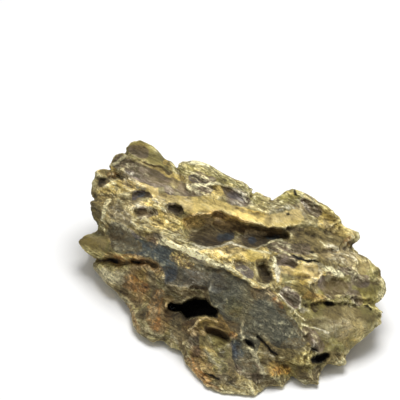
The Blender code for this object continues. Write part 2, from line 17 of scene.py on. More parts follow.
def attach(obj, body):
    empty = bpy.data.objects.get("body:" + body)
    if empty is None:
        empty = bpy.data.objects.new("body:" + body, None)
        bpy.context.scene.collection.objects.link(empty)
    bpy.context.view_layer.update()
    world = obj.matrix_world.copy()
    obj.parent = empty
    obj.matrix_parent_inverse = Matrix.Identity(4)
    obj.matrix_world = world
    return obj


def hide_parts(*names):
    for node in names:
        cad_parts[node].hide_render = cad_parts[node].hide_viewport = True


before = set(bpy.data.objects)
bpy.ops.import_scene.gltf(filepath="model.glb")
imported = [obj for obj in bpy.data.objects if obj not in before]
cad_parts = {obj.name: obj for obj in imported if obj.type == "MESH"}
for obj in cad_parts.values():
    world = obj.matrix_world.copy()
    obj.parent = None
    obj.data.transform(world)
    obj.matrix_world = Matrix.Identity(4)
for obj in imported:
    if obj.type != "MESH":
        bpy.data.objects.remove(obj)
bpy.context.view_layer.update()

MM = 0.001

# The display side: where a viewer stands to see the slate face and the top bed together.
DISPLAY_AZIMUTH = math.radians(37)
DISPLAY_ELEVATION = math.radians(40)
# Middle of the finished stone's box, from the floor point that is drawn at u 0, v 0.
BOX_MIDDLE = (-0.06105, 0.0694, 0.0)

VOXEL = 0.85 * MM  # grid on which the hull and the carved stone are meshed
MOST_TRIANGLES = 194000
SUNK = 0.8  # mm that the carved stone is lowered before what is below the floor is cut off

# Corners of the block on the display side, (u, v, height above the floor) in millimetres.
FOOT = [
    (57, 10, 3), (30, 7, 2), (5, 2, 1), (-16, 11, 2), (-30, 27, 4), (-50, 37, 4),
    (-66, 55, 6), (-80, 73, 8), (-90, 84, 10), (-97, 95, 15), (-99, 100, 22), (-97, 105, 27),
    (75, 24, 8),
]
SLATE_EDGE = [(-75, 116, 50), (-45, 103, 56), (-20, 92, 58), (0, 86, 57), (17, 73, 52), (38, 58, 45)]
TOP_EDGE = [
    (-91, 128, 45), (-88, 147, 62), (-72, 156, 70), (-58, 166, 75), (-25, 154, 76), (0, 143, 74),
    (15, 136, 72), (40, 135, 70), (60, 127, 64), (75, 113, 58), (83, 107, 54),
]
RIGHT_END = [(98, 85, 42), (102, 73, 34), (97, 48, 22), (85, 36, 14)]
# Corners that the display side hides, (along the drawing's u, away from the viewer, height).
BACK = [
    (-98, 137, 30), (-72, 176, 34), (-20, 163, 36), (22, 143, 32), (60, 126, 28), (90, 92, 20),
]
UNDERSIDE = [(-84, 128, 0), (-58, 162, 0), (-20, 152, 0), (20, 132, 0), (54, 112, 0), (82, 74, 0)]

# Outline of the stone on the display side, clockwise from its left tip.
OUTLINE = [
    (-99, 101), (-94, 106), (-86, 109), (-87.5, 112), (-91, 120), (-91, 136), (-87, 148), (-79, 150),
    (-75, 157), (-68, 161), (-64, 166), (-58, 168), (-49, 164), (-42, 157), (-37.5, 154), (-36, 150),
    (-31, 153), (-22, 154), (-14, 152), (-8, 148), (0, 143), (8, 140), (15, 135), (22, 131), (29, 129),
    (33, 133), (40, 136), (47, 134), (57, 128), (64, 124), (70, 118), (74, 112), (84, 108), (85, 102),
    (79, 98), (88, 92), (97, 85), (98, 80), (101, 76), (101, 69), (99, 63), (94.5, 60), (101, 57),
    (98.5, 53.5), (98.5, 50), (96.5, 47), (88, 39.5), (78, 32), (75, 27), (77, 23), (71, 20), (62, 22),
    (59, 18), (57, 9),
    (46, 9), (44, 12), (41, 13), (38, 12.5), (36, 10), (34, 8), (30, 8), (24, 8), (16, 2), (5, 3),
    (-6, 4), (-16, 8), (-23, 16), (-29, 23), (-32, 31), (-38, 33), (-43, 37), (-50, 36), (-58, 41), (-63, 48),
    (-65, 58), (-73, 67), (-80, 73), (-85, 79), (-89, 83), (-89, 90), (-96, 95),
]
OUTLINE_CENTRE = (-8, 84)
EDGE_LOSS = 0.5  # mm that the meshing takes off the edge afterwards


def unit(vector):
    vector = np.asarray(vector, float)
    return vector / np.linalg.norm(vector)


RIGHT = np.array((math.cos(DISPLAY_AZIMUTH), math.sin(DISPLAY_AZIMUTH), 0))
AWAY = np.array((-math.sin(DISPLAY_AZIMUTH), math.cos(DISPLAY_AZIMUTH), 0))
UP = np.array((0.0, 0.0, 1.0))
DRAWN_UP = math.sin(DISPLAY_ELEVATION) * AWAY + math.cos(DISPLAY_ELEVATION) * UP
TOWARD = math.sin(DISPLAY_ELEVATION) * UP - math.cos(DISPLAY_ELEVATION) * AWAY

# Ledges: (step, reach above, reach below, line). The side to the left of the line's direction
# stands proud; a negative step sets it back instead.
LEDGES = [
    (3.5, 7, 6, [(-72, 156), (-62, 154), (-55, 151.5), (-47, 149.5), (-40, 146.5), (-25, 140)]),
    (4.0, 6, 5, [(-31, 143), (-25, 138.5), (-20, 136.5), (-10, 137), (0, 137), (10, 130), (18, 127)]),
    (3.5, 6, 6, [(-88, 134), (-75, 137), (-65, 138.5), (-55, 136.5), (-40, 131), (-24, 130)]),
    (2.5, 6, 5, [(-24, 130), (-10, 127), (2, 124), (16, 120), (30, 118), (44, 119)]),
    (12.0, 12, 11, [
        (-33, 115), (-22, 117.5), (-15, 118.5), (-9, 120), (-5, 120), (0, 117.5), (10, 113.5),
        (18, 112), (25, 110), (32, 109.5), (41, 111.5),
    ]),
    (2.0, 9, 4, [(32, 110.5), (44, 112), (55, 112), (64, 109.5), (72, 105.5), (82, 103)]),
    (4.5, 5, 7, [
        (-50, 103), (-42, 101), (-30, 94.5), (-22, 90.5), (-8, 85), (0, 82.5), (8, 77), (15, 72),
        (31, 70),
    ]),
    (2.0, 5, 3, [(-2, 89), (4, 88.5), (10, 88), (16, 88), (25, 90)]),
    (-4.0, 5, 5, [(31, 103.5), (41, 100), (52, 96), (64, 90.5), (74, 88)]),
    (4.0, 6, 4, [(33, 84.5), (41, 80.5), (50, 79), (56, 76), (60, 72)]),
    (3.0, 6, 5, [(57, 79), (63, 78), (70, 78), (76, 76.5)]),
    (3.5, 8, 4, [(46, 60.5), (56, 62), (66, 62), (76, 61), (86, 60.5), (90, 58.5), (93, 56)]),
    (6.0, 6, 6, [(-90, 91.5), (-82, 90.5), (-68, 89.5), (-54, 90.5), (-49, 89.5), (-45, 84)]),
    (2.0, 6, 5, [(-75, 90), (-78, 97), (-85, 106)]),
    (3.5, 8, 6, [(-14, 84), (-13.5, 75), (-14, 70), (-12.5, 64), (-9, 57), (-5, 52)]),
    (3.5, 5, 4, [(26, 26), (33, 26), (40, 24.5), (47, 21.5), (55, 20)]),
    (1.6, 2.5, 2.5, [(-17, 38.5), (-12, 36), (-5, 36), (1, 39)]),
    (1.4, 2.5, 2.5, [(-15, 33.5), (-7, 30.5), (1, 33)]),
    (2.0, 5, 4, [(37, 52), (44, 46.5), (52, 40), (57, 33)]),
    (1.5, 3, 3, [(40, 51), (56, 50.5), (72, 51), (90, 50)]),
]
# Crests: (height, half width, line).
CRESTS = [
    (1.2, 3.0, [(-66, 124), (-60, 125), (-54, 127.5), (-46, 130), (-36, 129.5), (-30, 125)]),
    (4.0, 2.6, [
        (-46, 104), (-36, 100), (-27, 97), (-17, 93), (-9, 95), (-1, 92.5), (8, 97), (18, 95), (27, 93),
    ]),
    (2.5, 1.8, [
        (-26, 99.5), (-16, 96), (-7, 97.5), (0, 100.5), (5, 99.5), (10, 96.5), (16, 96), (21, 98),
        (27, 100.5), (34, 102),
    ]),
    (1.2, 3.5, [(28, 93), (29, 86), (29, 78), (29, 70)]),
    (1.6, 1.8, [(0, 81), (7, 78), (13, 73), (18, 71)]),
    (5.0, 3.2, [
        (-28, 43), (-22, 48), (-18, 51), (-14, 51.8), (-8, 49.5), (-1, 47), (2.5, 42), (2.5, 34),
    ]),
    (3.5, 4, [(-78, 130), (-80, 122), (-84, 114)]),
    (3.0, 3.5, [(31, 129), (40, 133.5), (46, 132), (62, 123.5), (68, 118), (74, 111), (82, 105)]),
    (2.5, 2.5, [(32, 89), (44, 87.5), (58, 86), (66, 84), (73, 79)]),
    (1.6, 1.2, [(32.5, 67), (37, 60), (43, 54), (47, 50)]),
    (1.5, 1.4, [(31.5, 70.5), (41, 70), (45, 65), (45.5, 57)]),
    (2.0, 1.6, [(8, 51), (8.5, 48), (6.5, 45), (6.5, 42), (9, 38)]),
    (1.2, 2.4, [(13, 32), (17, 27), (21, 22), (23, 14)]),
    (1.6, 1.2, [(17.5, 38.5), (19, 41), (22.5, 38.5), (25, 35), (31, 29)]),
    (1.5, 1.5, [(40, 93), (47, 91.5), (58, 89.5), (68, 86)]),
]
# What is carved: (depth, softness, chain of (u, v, radius)). Softness 1 is a bowl, and a low one
# a hole with steep walls. A negative depth is a swelling.
CARVED = [
    (6, 1.0, [(-66, 72, 14), (-44, 62, 15), (-24, 62, 14)]),
    (-6, 1.0, [(-10, 36, 17), (-6, 22, 15)]),
    (-5, 1.0, [(64, 47, 16), (84, 50, 13)]),
    (-4, 1.0, [(50, 92, 14), (70, 96, 12)]),
    (3, 1.0, [(46, 53, 8), (54, 42, 9), (60, 34, 7)]),
    (3, 1.0, [(14, 24, 10), (34, 22, 9)]),
    (9, 1.0, [(-24, 108, 8), (-12, 107, 12.5), (2, 105.5, 9), (14, 104.5, 8), (26, 104.5, 7), (37, 104, 4)]),
    (5, 1.0, [(-38, 57, 6), (-31, 54, 8), (-23, 53, 6)]),
    (2.5, 1.0, [(-27, 142.5, 4.2), (-20, 140.5, 4.4), (-15, 139, 3)]),
    (5, 1.0, [(-85, 140, 4), (-79, 141.5, 4), (-72, 143.5, 3)]),
    (4.5, 1.0, [(-62, 130.5, 4.2), (-57, 131.5, 4.8), (-53, 130.5, 3.2)]),
    (3.5, 1.0, [(-61, 119.5, 4), (-57, 120.5, 5), (-51, 118.5, 3.5)]),
    (5.5, 0.9, [(-37.5, 122.5, 4.6), (-34, 121.5, 4.6)]),
    (2.5, 1.0, [(-1, 133, 4), (3, 130, 5.5), (9, 127, 4)]),
    (1.3, 1.0, [(5, 85.5, 4.5), (10, 82.5, 5.5), (14, 79.5, 4.5)]),
    (5.5, 0.9, [(21.5, 84, 4.6), (22.5, 81, 5.2)]),
    (3, 1.0, [(22, 79, 5.5), (20.5, 75.5, 4.5)]),
    (-2.5, 1.0, [(6, 93, 4), (14, 93, 5), (22, 92, 4)]),
    (-2, 1.0, [(-14, 92.5, 4), (-6, 91.5, 4)]),
    (2.5, 1.0, [(49, 126, 3.5), (53.5, 122.5, 5), (58, 120, 4)]),
    (2.5, 1.0, [(40, 107, 4), (46, 105.5, 5), (53, 104, 4)]),
    (4, 0.8, [(53, 95, 1.3), (54.5, 95, 1.2)]),
    (1.8, 1.0, [(61, 73, 4.5), (68, 72, 5.5), (74, 72.5, 4)]),
    (2.5, 1.0, [(37, 66, 5), (41, 62, 4)]),
    (2, 1.0, [(82, 75.5, 4), (88, 75, 3.6), (95, 74, 2.5)]),
    (7, 1.0, [(-9, 37.5, 11), (-8, 33.5, 10.5), (-6.5, 29.5, 8.5)]),
    (7, 1.0, [(-13, 43.5, 3), (-8, 42.5, 4.5), (-4, 40.5, 5), (-2.5, 38, 3.5)]),
    (8, 0.7, [(55.5, 25, 3.6), (58.5, 26, 4.6), (62.5, 28, 3)]),
    (28, 0.3, [
        (-38.5, 59.5, 1.8), (-34, 58, 3.4), (-28, 57, 6), (-23, 58.4, 7), (-17, 58.4, 6.4),
        (-10, 55.6, 3),
    ]),
    (6, 1.0, [
        (-86, 88.5, 2.6), (-77, 88.3, 3.2), (-70, 87.3, 2.6), (-62, 88, 3), (-54, 87.5, 2.8),
        (-48, 84.5, 2.6),
    ]),
    (2.8, 1.0, [(48, 60.5, 1.2), (62, 61.5, 1.8), (74, 61, 1.3), (86, 60.3, 1.6), (91, 57.5, 1.8)]),
    (6, 0.9, [(63, 61, 2.8), (65.5, 61.3, 2.6)]),
    (3, 1.0, [(-74, 70, 3.5), (-66, 66, 3.5), (-60, 61, 3.5), (-56, 54, 3.5)]),
    (5, 0.9, [(-25, 71.5, 1.8), (-20, 71, 2.4), (-15.5, 69.5, 2.0)]),
    (5, 0.9, [(9, 38.5, 1.4), (12, 35.5, 2.1), (15, 32.5, 1.4)]),
    (4, 0.9, [(18.5, 39.5, 1.2), (21, 37, 1.6), (24, 33.5, 1.4), (27, 30.5, 1.7), (31, 27, 1.2)]),
    (4, 0.9, [(39, 92, 1.4), (44, 90.3, 2.0), (50, 89, 1.7), (60, 87.8, 1.2)]),
    (3, 0.8, [(69, 28, 2), (71, 26.5, 1.8)]),
    (4, 0.6, [(51, 32, 0.9), (55, 31.3, 1.2)]),
    (-2.5, 1.0, [(-16, 20, 5), (-9, 19, 5)]),
    (4, 0.5, [(-17, 15.3, 1), (-12, 14.3, 1.4), (-7, 12, 1)]),
]
# The broken faces that stayed smooth, as chains of (u, v, radius).
SLATE = [
    [
        (-76, 120, 6), (-71, 108, 9), (-55, 97, 10), (-36, 86, 11), (-22, 82, 10), (-12, 76, 9),
        (-2, 68, 12), (12, 60, 14), (26, 52, 14), (36, 44, 10),
    ],
    [(3, 44, 8), (5, 34, 7), (13, 30, 8), (30, 35, 8), (44, 34, 7)],
]
WORN = [
    [(54, 52, 11), (64, 48, 14), (74, 48, 13), (86, 50, 11)], [(64, 34, 8), (76, 38, 8)],
    [(-6, 22, 9), (10, 18, 8)], [(-78, 82, 9), (-60, 66, 13), (-44, 50, 10)],
    [(-52, 136, 4), (-24, 126, 5), (-6, 124, 4), (24, 114, 3)], [(36, 80, 6), (52, 82, 6)],
    [(-24, 108, 8), (-10, 107, 10), (14, 104, 8), (36, 103, 4)], [(62, 73, 7), (74, 72, 6), (88, 72, 7)],
    [(-94, 101, 5), (-84, 99, 8)], [(48, 109, 6), (56, 109, 6)], [(50, 104, 7), (66, 98, 8)],
    [(-60, 162, 6), (-48, 156, 6)],
    [(-9, 40, 12), (-7, 30, 10)], [(-58, 130, 8), (-57, 120, 7)],
    [(-38, 40, 6), (-30, 42, 6)], [(-2, 113, 5), (14, 110, 5), (30, 108, 4)],
    [(-66, 150, 5), (-52, 144, 8), (-34, 138, 7)], [(-78, 122, 7), (-70, 118, 6)],
    [(6, 92, 5), (20, 92, 5), (14, 82, 9)], [(88, 82, 6), (94, 72, 6)], [(46, 118, 5), (30, 116, 5)],
]
# Rims that are calm all round, as chains of (u, v, radius).
CALM = [
    [(-64, 162, 6), (-50, 161, 7), (-37, 151, 8), (-24, 150, 7), (-8, 146, 6), (8, 138, 6)],
    [(20, 132, 6), (30, 129, 6), (40, 133, 6), (62, 124, 6)], [(84, 94, 6), (100, 78, 7), (97, 66, 6)],
    [(97, 48, 6), (86, 38, 6), (72, 24, 7)], [(38, 14, 8), (56, 14, 8)],
    [(-88, 86, 6), (-76, 70, 8), (-66, 56, 7), (-58, 42, 6)], [(-98, 101, 8), (-88, 108, 6)],
]
# Shares of the layers and scallops that are gone: on worn faces, on smooth ones, along calm rims
# and on the whole display side.
WORN_LAYERS, WORN_SCALLOPS = 0.9, 0.75
SMOOTH_SHARE = 0.85
CALM_SHARE = 0.7
DISPLAY_CALM = 0.3

# Bedding: layers lie along X and are stacked along this direction.
STACKED = (0.0, -0.34, 0.94)
LAYER = 13.0  # mm from one ledge to the next
LAYER_STEP = 5.0  # mm
SCALLOP = (42.0, 11.5)  # mm along and across the bedding
SCALLOP_DEPTH = 12.0  # mm
SMALL_SCALLOP = (16.0, 4.6)
SMALL_SCALLOP_DEPTH = 2.6
GRAIN = (40.0, 6.0)  # mm along and across the bedding
GRAIN_HEIGHT = 0.9  # mm
ROUNDING = 3.5 * MM  # how far the corners of the hull are worn
HIDDEN_PITS = 44
PIT_SEED = 7
PIT_RADIUS, PIT_DEPTH = (2.8, 6.5), (4, 11)  # mm, least and most
LINE_WANDER = ((1.8, 9), (0.8, 3.5))  # mm that drawn lines stray, and the length of the bends
LEDGE_RISE = 1.2  # mm from a ledge's line to its full height
LIP_OVERHANG = 0.45  # how much deeper a hollow is below its upper lip
UNDERSIDE_HOLLOW = 6  # mm
SECTORS = 180  # in which the outline is measured and fitted


def smoothstep(low, high, x):
    """0 at low, 1 at high and a smooth rise between them."""
    t = np.clip((x - low) / (high - low), 0, 1)
    return t * t * (3 - 2 * t)


def place(u, v, height):
    """Where a point drawn at (u, v) lies, given its height above the floor, all in millimetres."""
    away = (v - height * math.cos(DISPLAY_ELEVATION)) / math.sin(DISPLAY_ELEVATION)
    return on_floor_plan(u, away, height)


def on_floor_plan(u, away, height):
    return MM * (u * RIGHT + away * AWAY + height * UP)


def drawn(points):
    """(u, v) of each point, in millimetres."""
    return np.stack((points @ RIGHT, points @ DRAWN_UP), axis=1) / MM


def to_segment(uv, start, end):
    """(offset from the nearest point of the segment, share of the segment there) of each point."""
    start, along = np.array(start, float), np.subtract(end, start, dtype=float)
    share = np.clip((uv - start) @ along / (along @ along), 0, 1)
    return uv - start - share[:, None] * along, share


def chain_field(uv, chain):
    """(distance to the chain over its radius there, height above the chain over that radius)."""
    field, rise = np.full(len(uv), np.inf), np.zeros(len(uv))
    for (*start, first), (*end, last) in zip(chain, chain[1:]):
        offset, share = to_segment(uv, start, end)
        radius = first + share * (last - first)
        distance = np.linalg.norm(offset, axis=1) / radius
        rise = np.where(distance < field, offset[:, 1] / radius, rise)
        field = np.minimum(field, distance)
    return field, rise


def line_field(uv, line):
    """(signed distance to the line, taper that falls to 0 at its ends) of each point."""
    lengths = np.linalg.norm(np.diff(np.array(line, float), axis=0), axis=1)
    begun = np.concatenate(([0], np.cumsum(lengths)))
    distance, taper = np.full(len(uv), np.inf), np.zeros(len(uv))
    for start, end, length, before in zip(line, line[1:], lengths, begun):
        offset, share = to_segment(uv, start, end)
        along = np.subtract(end, start, dtype=float)
        side = np.sign(along[0] * (uv[:, 1] - start[1]) - along[1] * (uv[:, 0] - start[0]))
        away = np.linalg.norm(offset, axis=1)
        nearer = away < np.abs(distance)
        distance = np.where(nearer, side * away, distance)
        travelled = (before + share * length) / begun[-1]
        taper = np.where(nearer, np.sqrt(np.sin(np.pi * np.clip(travelled, 0, 1))), taper)
    return distance, taper


def ledge_lift(uv, step, above, below, line):
    distance, taper = line_field(uv, line)
    reach = np.where(distance > 0, above, below)
    rise = np.clip(distance / LEDGE_RISE, -1, 1)
    return 0.5 * step * taper * rise * np.exp(-np.abs(distance) / reach)


def crest_lift(uv, height, half_width, line):
    distance, taper = line_field(uv, line)
    return taper * height * np.exp(-np.abs(distance) / half_width)


def carved_lift(uv, depth, softness, chain):
    """A hollow is deepest below its upper lip, which overhangs it."""
    field, rise = chain_field(uv, chain)
    lip = LIP_OVERHANG * softness * np.clip(rise, -1, 1) if depth > 0 else 0
    return -depth * (1 + lip) * (1 - smoothstep(1 - softness, 1, field))


def within(uv, chains):
    """1 inside the chains and 0 outside them."""
    field = np.min([chain_field(uv, chain)[0] for chain in chains], axis=0)
    return 1 - smoothstep(0.75, 1.15, field)


def warped(uv):
    """The drawn points, shifted a little by noise, which makes the lines drawn there irregular."""
    level = MM * np.column_stack((uv, np.zeros(len(uv))))
    shifts = []
    for seed in (8, 9):
        shifts.append(sum(reach * noise_at(level, (bend,) * 3, seed) for reach, bend in LINE_WANDER))
    return uv + np.stack(shifts, axis=1)


def display_lift(uv):
    """How far towards the viewer each point of the display side is moved, in millimetres."""
    uv = warped(uv)
    lift = sum(ledge_lift(uv, *ledge) for ledge in LEDGES)
    lift += sum(crest_lift(uv, *crest) for crest in CRESTS)
    return lift + sum(carved_lift(uv, *hole) for hole in CARVED)


def noise_at(points, scale, seed=0):
    """Smooth noise between -1 and 1 at each point, its blobs `scale` millimetres wide along X, Y, Z."""
    offset = Vector((17.0 * seed, 5.0 * seed, 11.0 * seed))
    scaled = points / (MM * np.array(scale))
    return np.array([noise.noise(Vector(p) + offset) for p in scaled])


def layers(points):
    """Saw-tooth ledges along the bedding, wavy and broken, in millimetres out of the surface."""
    height = points @ unit(STACKED) / MM / LAYER
    height += 0.9 * noise_at(points, (70, 26, 26), 1) + 0.35 * noise_at(points, (24, 9, 9), 2)
    share = height % 1.0
    strength = 0.65 + 0.5 * noise_at(points, (60, 40, 40), 3)
    return LAYER_STEP * strength * ((1 - share) ** 1.5 - 0.4) * smoothstep(0, 0.06, share)


def bowls(points, size, seed):
    """Height over a pattern of long bowls that meet in crests: 0 in a bowl, about 0.6 on a crest."""
    along, across = size
    warp = np.stack([noise_at(points, (0.8 * along,) * 3, seed + i) for i in range(3)], axis=1)
    cells = points / MM / np.array((along, across, across)) + 0.5 * warp + 3.7 * seed
    return np.array([noise.voronoi(Vector(cell))[0][0] for cell in cells]) ** 1.5


def grain(points):
    """Thin wavy crests along the bedding."""
    along, across = GRAIN
    warp = 0.4 * noise_at(points, (25, 25, 25), 12)
    stretched = points / MM / np.array((along, across, across)) + warp[:, None]
    return np.array([noise.ridged_multi_fractal(Vector(p), 0.9, 2.1, 4, 1.0, 2.0) for p in stretched])


def texture(points):
    """Scallops and grain of the weathered surface, in millimetres out of it."""
    lift = SCALLOP_DEPTH * (bowls(points, SCALLOP, 4) - 0.25)
    lift += SMALL_SCALLOP_DEPTH * (bowls(points, SMALL_SCALLOP, 7) - 0.25)
    return lift + GRAIN_HEIGHT * (grain(points) - 1.0)


def hidden_pits(points, middle):
    """Pits on the sides that the display side hides: each is drilled from outside towards the middle."""
    dice = np.random.default_rng(PIT_SEED)
    depth = np.zeros(len(points))
    from_middle = (points - middle) / MM
    for _ in range(HIDDEN_PITS):
        way = unit(dice.normal(size=3) * (1.0, 1.0, 0.6) - 0.9 * TOWARD)
        radius, deep = dice.uniform(*PIT_RADIUS), dice.uniform(*PIT_DEPTH)
        forward = from_middle @ way
        across = from_middle - forward[:, None] * way
        across[:, 0] *= 0.7
        field = np.linalg.norm(across, axis=1) / radius
        depth = np.maximum(depth, np.where(forward > 0, deep * (1 - smoothstep(0.35, 1, field)), 0))
    return depth


def with_modifier(obj, kind, **settings):
    """Apply one modifier to the object's mesh."""
    modifier = obj.modifiers.new(kind.title(), kind)
    for name, value in settings.items():
        setattr(modifier, name, value)
    evaluated = obj.evaluated_get(bpy.context.evaluated_depsgraph_get())
    old, obj.data = obj.data, bpy.data.meshes.new_from_object(evaluated)
    obj.modifiers.clear()
    bpy.data.meshes.remove(old)


def vertex_array(mesh, attribute="co"):
    flat = np.empty(3 * len(mesh.vertices), np.float32)
    source = mesh.vertices if attribute == "co" else mesh.vertex_normals
    source.foreach_get("co" if attribute == "co" else "vector", flat)
    return flat.reshape(-1, 3).astype(float)


def set_vertices(mesh, points):
    mesh.vertices.foreach_set("co", points.astype(np.float32).ravel())
    mesh.update()


@contextmanager
def edited(mesh):
    """The mesh's bmesh, which is written back at the end."""
    bm = bmesh.new()
    bm.from_mesh(mesh)
    yield bm
    bm.to_mesh(mesh)
    bm.free()
    mesh.update()


def rough_block():
    """The stone's hull, with its front and back corners, as a new object."""
    corners = [place(*corner) for corner in FOOT + SLATE_EDGE + TOP_EDGE + RIGHT_END]
    corners += [on_floor_plan(*corner) for corner in BACK + UNDERSIDE]
    mesh = bpy.data.meshes.new("weathered_stone")
    with edited(mesh) as bm:
        for corner in corners:
            bm.verts.new(corner)
        hull = bmesh.ops.convex_hull(bm, input=bm.verts)
        loose = [item for item in hull["geom_interior"] if isinstance(item, bmesh.types.BMVert)]
        bmesh.ops.delete(bm, geom=loose, context="VERTS")
        bmesh.ops.recalc_face_normals(bm, faces=bm.faces)
    return bpy.data.objects.new("weathered_stone", mesh)


def smooth(mesh, rounds):
    axes = {"use_axis_x": True, "use_axis_y": True, "use_axis_z": True}
    with edited(mesh) as bm:
        for _ in range(rounds):
            bmesh.ops.smooth_vert(bm, verts=bm.verts, factor=0.5, **axes)


def outline_reach(angles):
    """Distance from OUTLINE_CENTRE to the drawn outline, in each direction."""
    corners = np.array(OUTLINE, float) - OUTLINE_CENTRE
    reach = np.zeros(len(angles))
    for i, angle in enumerate(angles):
        ray = np.array((math.cos(angle), math.sin(angle)))
        ahead = corners @ ray
        beside = corners @ np.array((-ray[1], ray[0]))
        for here, there in zip(range(-1, len(corners) - 1), range(len(corners))):
            if beside[here] * beside[there] <= 0 and beside[here] != beside[there]:
                share = beside[here] / (beside[here] - beside[there])
                reach[i] = max(reach[i], ahead[here] + share * (ahead[there] - ahead[here]))
    return reach


def fit_outline(points, most, shift=0.0):
    """Stretch the stone about the outline's centre, until its edge is drawn along OUTLINE.

    No direction is stretched or pressed by more than the share `most`. The sectors in which the edge
    is measured are turned by `shift` of a sector.
    """
    from_centre = drawn(points) - OUTLINE_CENTRE
    radius = np.linalg.norm(from_centre, axis=1)
    angle = np.arctan2(from_centre[:, 1], from_centre[:, 0])
    turn = ((angle + math.pi) / (2 * math.pi) * SECTORS - shift) % SECTORS
    widest = np.zeros(SECTORS)
    np.maximum.at(widest, turn.astype(int) % SECTORS, radius)
    middles = (np.arange(SECTORS) + 0.5 + shift) / SECTORS * 2 * math.pi - math.pi
    ratio = np.clip((outline_reach(middles) + EDGE_LOSS) / widest, 1 - most, 1 + most)
    around = np.arange(-1, SECTORS + 1) + 0.5
    ratio = np.interp(turn, around, np.pad(ratio, 1, mode="wrap"))
    widest = np.interp(turn, around, np.pad(widest, 1, mode="wrap"))
    near_edge = smoothstep(0.45, 0.97, radius / widest)
    move = from_centre * ((ratio - 1) * near_edge)[:, None] * MM
    # Near the floor the stone is stretched along the floor, which leaves it at its height.
    lifted = smoothstep(3, 20, points[:, 2] / MM)[:, None]
    level = AWAY / math.sin(DISPLAY_ELEVATION)
    return points + move[:, :1] * RIGHT + move[:, 1:] * (lifted * DRAWN_UP + (1 - lifted) * level)


def fitted(points, shares):
    """Fit the outline once for each share, with the sectors turned by half of one every other time."""
    for turn, most in enumerate(shares):
        points = fit_outline(points, most, 0.5 * (turn % 2))
    return points


def underside_hollows(points):
    """How far the underside is hollowed between the patches that the stone rests on, in millimetres."""
    behind_foot = smoothstep(40, 60, points @ AWAY / MM)
    return UNDERSIDE_HOLLOW * behind_foot * smoothstep(-0.05, 0.4, noise_at(points, (40, 30, 40), 21))


def weather(mesh):
    """Raise the layers, scallops and pits of the whole stone."""
    points, normals = vertex_array(mesh), vertex_array(mesh, "normal")
    seen = smoothstep(-0.1, 0.35, normals @ TOWARD)
    clear_of_floor = smoothstep(3, 12, points[:, 2] / MM)
    uv = warped(drawn(points))
    worn = seen * within(uv, WORN)
    lift = layers(points) * (1 - WORN_LAYERS * worn) + texture(points) * (1 - WORN_SCALLOPS * worn)
    lift *= (1 - SMOOTH_SHARE * seen * within(uv, SLATE)) * (1 - CALM_SHARE * within(uv, CALM))
    lift *= 1 - DISPLAY_CALM * seen
    lift -= hidden_pits(points, points.mean(axis=0)) * (1 - seen)
    moved = points + MM * (lift * clear_of_floor)[:, None] * normals
    moved[:, 2] += MM * underside_hollows(points) * smoothstep(-0.4, -0.8, normals[:, 2])
    set_vertices(mesh, moved)


def carve_display_side(mesh):
    points, normals = vertex_array(mesh), vertex_array(mesh, "normal")
    facing = smoothstep(0.0, 0.35, normals @ TOWARD)
    lift = display_lift(drawn(points)) * facing
    set_vertices(mesh, points + MM * lift[:, None] * TOWARD)


def keep_largest_piece(mesh):
    """Remove crumbs and sealed bubbles, which the meshing can leave."""
    with edited(mesh) as bm:
        waiting, pieces = set(bm.verts), []
        while waiting:
            front = [waiting.pop()]
            piece = list(front)
            while front:
                beside = [edge.other_vert(vert) for vert in front for edge in vert.link_edges]
                front = list({vert for vert in beside if vert in waiting})
                waiting.difference_update(front)
                piece += front
            pieces.append(piece)
        pieces.sort(key=len)
        bmesh.ops.delete(bm, geom=[vert for piece in pieces[:-1] for vert in piece], context="VERTS")


# Colour zones of the display side: outlines of (u, v) corners.
SLATE_FACES = [
    [
        (-81, 105), (-78, 112), (-74, 114), (-69, 111), (-63, 105), (-52, 101), (-44, 98.5), (-36, 95),
        (-29, 91), (-22, 87.5), (-12, 84.5), (-4, 83), (2, 80), (8, 76), (15, 71), (27, 70), (34, 60),
        (38, 52), (46, 44), (52, 37), (46, 32), (36, 31), (27, 35), (20, 37), (16, 28), (18, 17), (8, 17),
        (2, 26), (1, 40), (-1, 47.5), (-5, 52), (-8, 55), (-12, 62), (-14, 71), (-20, 73), (-30, 72),
        (-42, 74), (-44, 84), (-50, 90), (-60, 92), (-74, 93), (-78, 102),
    ],
]
BROWN_SIDE = [
    [
        (-94, 90), (-74, 93), (-60, 91.5), (-50, 90), (-44, 84), (-42, 75), (-33, 75), (-25, 76), (-14, 72),
        (-11, 60), (-9, 53), (-18, 52), (-24, 46), (-27, 34), (-22, 24), (-10, 24), (-4, 14), (-10, 0),
        (-36, 16), (-62, 38), (-74, 60), (-94, 80),
    ],
    [(22, 26), (34, 24), (48, 21), (60, 20), (60, 4), (36, 4), (20, 4)],
]
